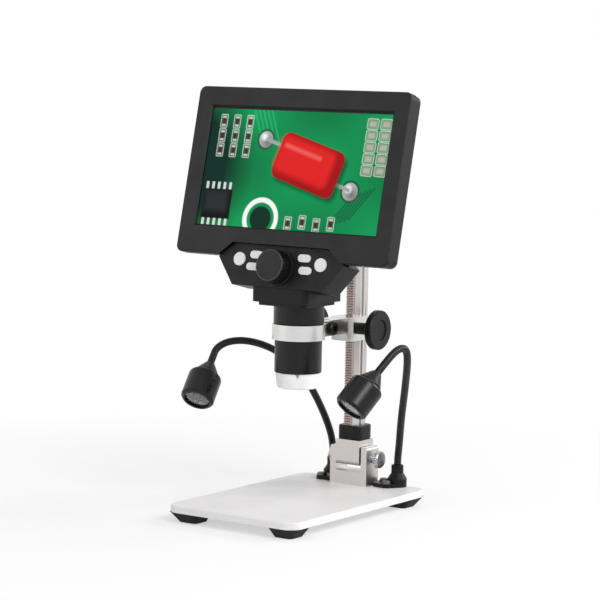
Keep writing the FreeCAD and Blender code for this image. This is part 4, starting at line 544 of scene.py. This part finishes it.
def circuit_picture(x, y):
    """The whole picture, back to front: board, pads, small parts, a chip, then the red part."""
    picture = np.empty(x.shape + (3,))
    board_ground(picture, x, y)
    for column in range(2):
        for row in range(5):
            pad = block(x, y, (61 + 11 * column, 36 - 8.2 * row), (7.6, 5.8), -2, 0.4)
            paint(picture, "#E8EFE2", edge(np.abs(pad - 0.7) - 0.2))
            paint(picture, "#8F9A88", edge(pad))
            paint(picture, "#B9BFAE", 0.7 * edge(pad + 1.2, 1))
    ring = np.abs(blob(x, y, (-22, -35), 13.5)) - 1.8
    paint(picture, "#F4F8F4", edge(ring, 0.6))
    paint(picture, "#082F22", edge(blob(x, y, (-22, -35), 9), 0.8))
    for row in range(3):
        for step in range(3):
            small_part(picture, x, y, (-66 + 11.5 * step, 34 - 10.5 * row), 90)
    for step in range(4):
        small_part(picture, x, y, (2 + 12 * step, -37 + 1.5 * (step % 2)), 90)
    paint(picture, "#0B0D0E", edge(block(x, y, (-62, -26), (25, 22), 0, 1), 0.6))
    paint(picture, "#272C2E", edge(block(x, y, (-63, -24), (20, 15), 0, 1), 5))
    for step in range(5):
        for side in (-1, 1):
            leg = block(x, y, (-72 + 5 * step, -26 + side * 13.2), (2.2, 5), 0, 0.3)
            paint(picture, "#DADCD7", edge(leg))
    solder_joint(picture, x, y, (-27, 22), 6)
    solder_joint(picture, x, y, (50, -12), 6.4)
    paint(picture, "#A3A6A2", edge(block(x, y, (-19, 20), (16, 2.6), -16, 1)))
    paint(picture, "#A3A6A2", edge(block(x, y, (42, -9), (16, 2.6), -16, 1)))
    red_part(picture, x, y, (12, 5), (56, 34), -16)
    return picture


def picture_piece():
    """The lit layer of the screen: a flat grid just in front of the display panel."""
    columns, rows = PICTURE_CELLS
    x, y = np.meshgrid(np.linspace(-PICTURE_WIDTH / 2, PICTURE_WIDTH / 2, columns + 1),
                       np.linspace(PICTURE_HEIGHT / 2, -PICTURE_HEIGHT / 2, rows + 1))
    panel = node_points("lcd_panel")
    heights = panel @ UPWARD
    middle_up = (heights.min() + heights.max()) / 2
    face = (panel @ OUTWARD).max() + PICTURE_LIFT
    points = (x[..., None] * mm * np.array([1, 0, 0])
              + (y[..., None] * mm + middle_up) * UPWARD + face * OUTWARD)
    material, tree, shader = finish("display_lit_layer", "#030303", 0.4, IOR=1.5,
                                    Specular_IOR_Level=0.04)
    colours = add(tree, "ShaderNodeAttribute", attribute_name="picture")
    tree.links.new(colours.outputs["Color"], shader.inputs["Emission Color"])
    shader.inputs["Emission Strength"].default_value = 1.0
    piece = grid_mesh("screen_picture", points, material)
    picture = circuit_picture(x, y)
    rgba = np.concatenate([picture, np.ones(picture.shape[:2] + (1,))], axis=-1)
    layer = piece.data.color_attributes.new("picture", "FLOAT_COLOR", "POINT")
    layer.data.foreach_set("color", rgba.astype(np.float32).ravel())
    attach(piece, "head")
    return piece


screen_picture = picture_piece()
print("screen picture faces:", len(screen_picture.data.polygons))

# %% [markdown]
# ## The bendable hoses
# Each lamp stands on a hose: a steel spiral in a black sleeve, whose turns show as fine ribs.
# The CAD hose is a plain tube on arcs. Here a smooth spline on nearly the same route takes its
# place, and a round section with ribs is carried along it without twisting.

# %% Hose routes
HOSE_RADIUS = 2.7 * mm
RIB_PITCH = 1.7 * mm
RIB_DEEP = 0.16 * mm
HOSE_SIDES = 28
ROWS_PER_RIB = 7
UPPER_PART = 38 * mm

LAMP_BASE = {"right": Vector((31.5, 80.5, 12.5)) * mm, "left": Vector((-25.5, 80.5, 12.5)) * mm}
HOSE_ROUTE = {
    "right": [(0, 0, 13), (0, 0, 21), (4.9, -6.1, 31.8), (15, -20.2, 54.6), (29.9, -39.6, 80.5),
              (44.8, -60.8, 103.2), (47.4, -67.4, 112.4), (46.1, -74.6, 113.2),
              (44.1, -83.5, 107.7), (40.3, -94.1, 96.3)],
    "left": [(0, 0, 13), (0, 0, 21), (0.9, -5.4, 36), (-2, -18.4, 60.4), (-8, -36.5, 87.3),
             (-19.8, -54, 101.2), (-31.9, -67.3, 106.8), (-42.4, -76.6, 106.2), (-48.8, -83.3, 101.3),
             (-47.4, -89.4, 94.8), (-46.4, -94.1, 89.9)],
}


def smooth_line(points, fineness=32):
    """Points along the NURBS spline of third order that has the given points as its controls."""
    curve = bpy.data.curves.new("route", "CURVE")
    curve.dimensions = "3D"
    curve.resolution_u = fineness
    spline = curve.splines.new("NURBS")
    spline.points.add(len(points) - 1)
    spline.points.foreach_set("co", [value for point in points for value in (*point, 1)])
    spline.order_u = 3
    spline.use_endpoint_u = True
    route = bpy.data.objects.new("route", curve)
    mesh = bpy.data.meshes.new_from_object(route)
    line = np.empty(len(mesh.vertices) * 3)
    mesh.vertices.foreach_get("co", line)
    bpy.data.objects.remove(route)
    bpy.data.meshes.remove(mesh)
    return line.reshape(-1, 3)


# %% A ribbed section carried along the line
def ribbed_tube(name, line, material):
    """Rings round a line: middle + radius (cos a * normal + sin a * binormal), where the radius
    dips by a narrow groove once in each rib's pitch. The normal stays square to one level
    direction, so the rings don't twist."""
    lengths = np.concatenate([[0], np.cumsum(np.linalg.norm(np.diff(line, axis=0), axis=1))])
    rows = int(lengths[-1] / RIB_PITCH * ROWS_PER_RIB)
    along = np.linspace(0, lengths[-1], rows)
    middle = np.stack([np.interp(along, lengths, line[:, axis]) for axis in range(3)],
                      axis=-1)
    tangent = np.gradient(middle, axis=0)
    tangent /= np.linalg.norm(tangent, axis=1, keepdims=True)
    level = np.cross(line[-1] - line[0], (0, 0, 1))
    level /= np.linalg.norm(level)
    normal = level - (tangent @ level)[:, None] * tangent
    normal /= np.linalg.norm(normal, axis=1, keepdims=True)
    binormal = np.cross(tangent, normal)
    groove = (0.5 + 0.5 * np.cos(2 * np.pi * along / RIB_PITCH)) ** 3
    radius = HOSE_RADIUS - RIB_DEEP * groove
    angle = np.linspace(0, 2 * np.pi, HOSE_SIDES, endpoint=False)
    rings = (np.cos(angle)[None, :, None] * normal[:, None]
             + np.sin(angle)[None, :, None] * binormal[:, None])
    points = middle[:, None] + radius[:, None, None] * rings
    return grid_mesh(name, points, material, wrap=True, capped=True)


def part_way(line, length):
    """Index of the last point of a line that lies within a length of its start."""
    lengths = np.cumsum(np.linalg.norm(np.diff(line, axis=0), axis=1))
    return int(np.searchsorted(lengths, length))


def lamp_hose(side):
    """A lower piece from the base, and an upper piece for the last part, behind the lamp."""
    route = [LAMP_BASE[side] + Vector(point) * mm for point in HOSE_ROUTE[side]]
    line = smooth_line(route)
    total = np.linalg.norm(np.diff(line, axis=0), axis=1).sum()
    split = part_way(line, total - UPPER_PART)
    lower = ribbed_tube(f"{side}_hose_lower", line[:split + 1], FINISH["hose_rubber"])
    upper = ribbed_tube(f"{side}_hose_upper", line[split:], FINISH["hose_rubber"])
    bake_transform(lower)
    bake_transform(upper)
    for piece in (lower, upper):
        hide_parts(f"{side}_gooseneck")
    rows = len(lower.data.vertices) // HOSE_SIDES
    print(side, "hose length (mm):", round(total / mm, 1), "rows:", rows)


for side in ("right", "left"):
    lamp_hose(side)

# %% [markdown]
# ## Lamp reflectors
# Behind each lens sits a moulded cup with a mirror coat. It is pressed into facets, which
# spread the light and show as small bright and dark fields. The facets could be cut one by
# one, but waves round the cup and down its slope give them in one formula.

# %% Faceted cups
FACETS_ROUND = 12
FACETS_DOWN = 2
CUP_LOW = 13.8
CUP_HIGH = 29.2
CUP_MOUTH = 8.15
CUP_FOOT = 2.4
CUP_WALL = 0.5
CUP_BULGE = 0.8
CUP_START = 9 * mm
CUP_ROWS = 40
FACET_DEEP = 0.5
COLUMNS_PER_FACET = 10


def lamp_direction(side):
    """The lamp's own axis, from the joint behind it to the middle of its lens."""
    low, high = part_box(f"{side}_lamp_lens")
    axis = (low + high) / 2 - Vector(joints[f"{side}_lamp_bend"]["pos_m"])
    return axis.normalized()


def turned_points(profile_r, profile_z, angle, origin, axis):
    """Profile radii and heights carried round an axis through a point."""
    axis = np.array(axis, dtype=float)
    first = np.cross(axis, (1, 0, 0))
    first /= np.linalg.norm(first)
    second = np.cross(axis, first)
    spin = np.cos(angle)[..., None] * first + np.sin(angle)[..., None] * second
    return np.array(origin) + profile_r[..., None] * spin + profile_z[..., None] * axis


def faceted_cup(side):
    """A cup whose radius follows a power of the way down its slope, foot + (mouth - foot) s^n,
    less |sin| waves round it and down it for the facets. Its back wall has no facets. Its
    heights count from a point on the lamp's axis, a little way past the joint."""
    slope = np.linspace(0, 1, CUP_ROWS)
    angle = np.linspace(0, 2 * np.pi, FACETS_ROUND * COLUMNS_PER_FACET, endpoint=False)
    inner = CUP_FOOT + (CUP_MOUTH - CUP_FOOT) * slope[:, None] ** CUP_BULGE
    wave_round = np.abs(np.sin(FACETS_ROUND * angle / 2))
    wave_down = np.abs(np.sin(FACETS_DOWN * np.pi * slope))[:, None]
    front = inner - FACET_DEEP * (wave_round * wave_down) * slope[:, None]
    back = (inner + CUP_WALL)[::-1] + np.zeros_like(angle)
    radius = np.concatenate([front + np.zeros_like(angle), back]) * mm
    height = np.concatenate([slope, slope[::-1]])[:, None] * (CUP_HIGH - CUP_LOW) + CUP_LOW
    height = (height + np.zeros_like(angle)) * mm
    axis = lamp_direction(side)
    bend = Vector(joints[f"{side}_lamp_bend"]["pos_m"])
    rear = bend + axis * CUP_START
    points = turned_points(radius, height, angle[None, :] + np.zeros_like(radius), rear, axis)
    cup = grid_mesh(f"{side}_lamp_cup", points, FINISH["reflector"], wrap=True, loop=True)
    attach(cup, f"{side}_lamp")
    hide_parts(f"{side}_lamp_reflector")


for side in ("right", "left"):
    faceted_cup(side)
print("facets in each cup:", FACETS_ROUND * FACETS_DOWN)

# %% [markdown]
# ## The focus wheel's beaded rim
# The wheel has a row of small beads round its front edge, which catch the light. They are coloured a
# lighter grey than the knob, a painted sheen. A ring whose thickness swells once for each bead gives them all at
# once.

# %% Beaded rim
SCREEN_MIDDLE = np.array([0, -17.92, 247.64]) * mm
FOCUS_DROP = 69.8 * mm
RIM_RADIUS = 10.75 * mm
RIM_INSET = 0.1 * mm
BEADS = 40
BEAD_RADIUS = 0.42 * mm
BEAD_WAIST = 0.55
BEAD_SIDES = 10
COLUMNS_PER_BEAD = 8


def beaded_rim():
    """A ring round the wheel's axis: rim radius + bead cos b outwards, bead sin b forwards,
    where the bead's radius follows |cos| of half the count times the angle."""
    round_angle = np.linspace(0, 2 * np.pi, BEADS * COLUMNS_PER_BEAD, endpoint=False)
    small_angle = np.linspace(0, 2 * np.pi, BEAD_SIDES, endpoint=False)
    swell = np.abs(np.cos(BEADS * round_angle / 2))
    bead = BEAD_RADIUS * (BEAD_WAIST + (1 - BEAD_WAIST) * swell)
    radius = RIM_RADIUS + bead[:, None] * np.cos(small_angle)
    height = bead[:, None] * np.sin(small_angle)
    front = (node_points("focus_knob") @ OUTWARD).max()
    middle = SCREEN_MIDDLE - UPWARD * FOCUS_DROP
    middle = middle + OUTWARD * (front - middle @ OUTWARD - RIM_INSET)
    angle = round_angle[:, None] + np.zeros_like(radius)
    points = turned_points(radius, height, angle, middle, OUTWARD)
    rim = grid_mesh("focus_wheel_beads", points, polished_abs_painted_sheen(), wrap=True, loop=True)
    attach(rim, "focus_drive")


beaded_rim()
print("beads:", BEADS)

# %% [markdown]
# ## The column's collar
# The collar is a moulded block with well rounded corners, a little wider than the column. In
# the solids it is a plain block. A stack of one outline, a square whose corners are swelled by
# a power curve, gives the soft corners and the rolled edges in one grid.

# %% Moulded collar
COLLAR_HALF = (9.7 * mm, 10.1 * mm)
COLLAR_ROLL = 1.0 * mm
COLLAR_POWER = 4.5
COLLAR_COLUMNS = 96
ROLL_ROWS = 7


def moulded_collar():
    """Rings of a superellipse, |x/a|^n + |y/b|^n = 1, that shrink along a quarter circle at
    the top and the bottom edge. The column stands through it."""
    low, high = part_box("column_collar")
    middle = np.array((low + high) / 2)
    angle = np.linspace(0, 2 * np.pi, COLLAR_COLUMNS, endpoint=False)
    roll = np.linspace(0, np.pi / 2, ROLL_ROWS)
    shrink = np.concatenate([1 - np.sin(roll), 1 - np.cos(roll)]) * COLLAR_ROLL
    rise = np.concatenate([(1 - np.cos(roll)) * COLLAR_ROLL,
                           high.z - low.z - (1 - np.sin(roll)) * COLLAR_ROLL])
    power = 2 / COLLAR_POWER
    across = np.sign(np.cos(angle)) * np.abs(np.cos(angle)) ** power
    along = np.sign(np.sin(angle)) * np.abs(np.sin(angle)) ** power
    x = middle[0] + (COLLAR_HALF[0] - shrink[:, None]) * across
    y = middle[1] + (COLLAR_HALF[1] - shrink[:, None]) * along
    z = low.z + rise[:, None] + np.zeros_like(x)
    collar = grid_mesh("collar_moulded", np.stack([x, y, z], axis=-1), FINISH["black_plastic"],
                       wrap=True, capped=True)
    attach(collar, "mast")
    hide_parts("column_collar")


moulded_collar()
print("collar (mm):", [round(2 * half / mm, 1) for half in COLLAR_HALF])

# %% [markdown]
# ## Screw recesses
# Each screw head has a cross recess. It could be cut with a boolean, which needs a clean solid
# and time. Instead a flat dark cross is laid on the head: painted shade where the hollow would lie in shadow.

# %% Cross recesses as painted shade
RECESS_ARM = 0.55
RECESS_WIDE = 0.16
RECESS_POWER = 6
RECESS_LIFT = 0.03 * mm
RECESS_COLUMNS = 48
SCREW_REACH = 7.5 * mm
FACE_DEPTH = 0.02 * mm


def screw_heads(name, outward):
    """The outer face of each screw in a group: its points are sorted into screws by their place
    across the outward axis. Given is the middle and the reach of those that lie furthest out."""
    points = node_points(name)
    outward = np.array(outward)
    side = np.cross(outward, (1, 0, 0)) if abs(outward[0]) < 0.9 else np.array([0, 1.0, 0])
    side = side / np.linalg.norm(side)
    other = np.cross(outward, side)
    heads = []
    left = points
    while len(left):
        seed = left[0]
        gap = left - seed
        near = np.hypot(gap @ side, gap @ other) < SCREW_REACH
        screw = left[near]
        left = left[~near]
        out = screw @ outward
        face = screw[out > out.max() - FACE_DEPTH]
        middle = (face.max(axis=0) + face.min(axis=0)) / 2
        heads.append((middle, np.linalg.norm(face - middle, axis=1).max()))
    return heads


def recess_shade_cross(name, body, middle, reach, outward):
    """A flat cross with tapered arms, just above the head: its radius follows a power of
    |cos 2a|, long on the four arms and short between them. Its black is painted shade for the hollow."""
    outward = np.array(outward)
    angle = np.linspace(0, 2 * np.pi, RECESS_COLUMNS, endpoint=False)
    cross = np.abs(np.cos(2 * angle)) ** RECESS_POWER
    arm = RECESS_WIDE + (RECESS_ARM - RECESS_WIDE) * cross
    rows = np.array([0.02, 1.0, 1.0, 0.02])[:, None] * arm * reach
    lift = np.array([1, 1, 0, 0])[:, None] * RECESS_LIFT + np.zeros_like(rows)
    points = turned_points(rows, lift, angle[None, :] + np.zeros_like(rows), middle, outward)
    # The black rubber finish on this flat cross is painted shade: the recess's hollow is not cut.
    recess = grid_mesh(name, points, FINISH["foot_rubber"], wrap=True, capped=True)
    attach(recess, body)


SCREW_GROUPS = {
    "lamp_base_screws": ("base", (0, 0, 1)),
    "foot_screws": ("base", (0, 0, -1)),
    "bracket_screws": ("base", (0, 0, -1)),
    "housing_screws": ("head", tuple(-OUTWARD)),
}
for group, (body, outward) in SCREW_GROUPS.items():
    heads = screw_heads(group, outward)
    for number, (middle, reach) in enumerate(heads):
        recess_shade_cross(f"{group}_recess_{number + 1}", body, middle, reach, outward)
    print(group, len(heads))

# %% [markdown]
# ## Floor, backdrop and light
# The object stands in plain white. The floor keeps a soft shadow near the feet and fades to
# the white of the backdrop further out, so no horizon shows.

# %% The floor
FLOOR_HALF = 3.0
SHADOW_FROM = 0.12
SHADOW_TO = 0.5
SHADOW_WHITE = 0.55


def seen_directly(tree):
    """1 for the rays that reach the eye straight, off a mirror or through glass, and 0 for the
    rays that carry light between surfaces."""
    rays = add(tree, "ShaderNodeLightPath")
    mirrored = add(tree, "ShaderNodeMath",
                   links={0: rays.outputs["Is Camera Ray"], 1: rays.outputs["Is Glossy Ray"]},
                   operation="MAXIMUM")
    return add(tree, "ShaderNodeMath",
               links={0: mirrored.outputs[0], 1: rays.outputs["Is Transmission Ray"]},
               operation="MAXIMUM")


def white_floor():
    """A wide floor that is white to the camera and keeps a shadow near the object."""
    corner = np.array([-FLOOR_HALF, FLOOR_HALF])
    x, y = np.meshgrid(corner, corner)
    points = np.stack([x, y, np.zeros_like(x)], axis=-1)
    material, tree, shader = finish("floor_white_paper", "#F2F2F2", 0.9)
    output = tree.nodes["Material Output"]
    seen = seen_directly(tree)
    place = add(tree, "ShaderNodeTexCoord")
    far = add(tree, "ShaderNodeVectorMath", links={0: place.outputs["Object"]},
              operation="LENGTH")
    fade = add(tree, "ShaderNodeMapRange", {"From Min": SHADOW_FROM, "From Max": SHADOW_TO,
                                            "To Min": SHADOW_WHITE, "To Max": 1.0},
               {"Value": far.outputs["Value"]})
    share = add(tree, "ShaderNodeMath", links={0: seen.outputs[0], 1: fade.outputs["Result"]},
                operation="MULTIPLY")
    white = add(tree, "ShaderNodeEmission", {"Color": (1, 1, 1, 1), "Strength": 1.0})
    mixed = add(tree, "ShaderNodeMixShader", links={0: share.outputs[0],
                                                    1: shader.outputs["BSDF"],
                                                    2: white.outputs["Emission"]})
    tree.links.new(mixed.outputs["Shader"], output.inputs["Surface"])
    floor = grid_mesh("floor", points[::-1], material)


white_floor()


# %% The world and the lamps
def white_world(level):
    """A white surround: full white to the eye and to mirrors, and a plain level as light."""
    world = bpy.data.worlds.new("studio")
    bpy.context.scene.world = world
    world.use_nodes = True
    tree = world.node_tree
    light = tree.nodes["Background"]
    light.inputs["Color"].default_value = (1, 1, 1, 1)
    light.inputs["Strength"].default_value = level
    seen = seen_directly(tree)
    white = add(tree, "ShaderNodeBackground", {"Color": (1, 1, 1, 1), "Strength": 1.0})
    mixed = add(tree, "ShaderNodeMixShader", links={0: seen.outputs[0],
                                                    1: light.outputs["Background"],
                                                    2: white.outputs["Background"]})
    tree.links.new(mixed.outputs["Shader"], tree.nodes["World Output"].inputs["Surface"])


def soft_box(name, place, aim, size, power):
    """A square area lamp that faces a point, as a photographer's soft box does."""
    lamp = bpy.data.lights.new(name, "AREA")
    lamp.size = size
    lamp.energy = power
    box = bpy.data.objects.new(name, lamp)
    bpy.context.scene.collection.objects.link(box)
    box.location = place
    box.rotation_mode = "QUATERNION"
    box.rotation_quaternion = (Vector(aim) - Vector(place)).to_track_quat("-Z", "Y")


SURROUND_LIGHT = 0.5
OBJECT_MIDDLE = (0, 0, 0.15)

white_world(SURROUND_LIGHT)
soft_box("key", (1.2, -0.5, 1.0), OBJECT_MIDDLE, size=0.6, power=14)
soft_box("fill", (-0.9, -1.1, 0.6), OBJECT_MIDDLE, size=0.9, power=4)
soft_box("rim", (0.9, 0.9, 0.7), OBJECT_MIDDLE, size=0.5, power=9)
bpy.context.scene.view_settings.view_transform = "Standard"
print("stage ready")
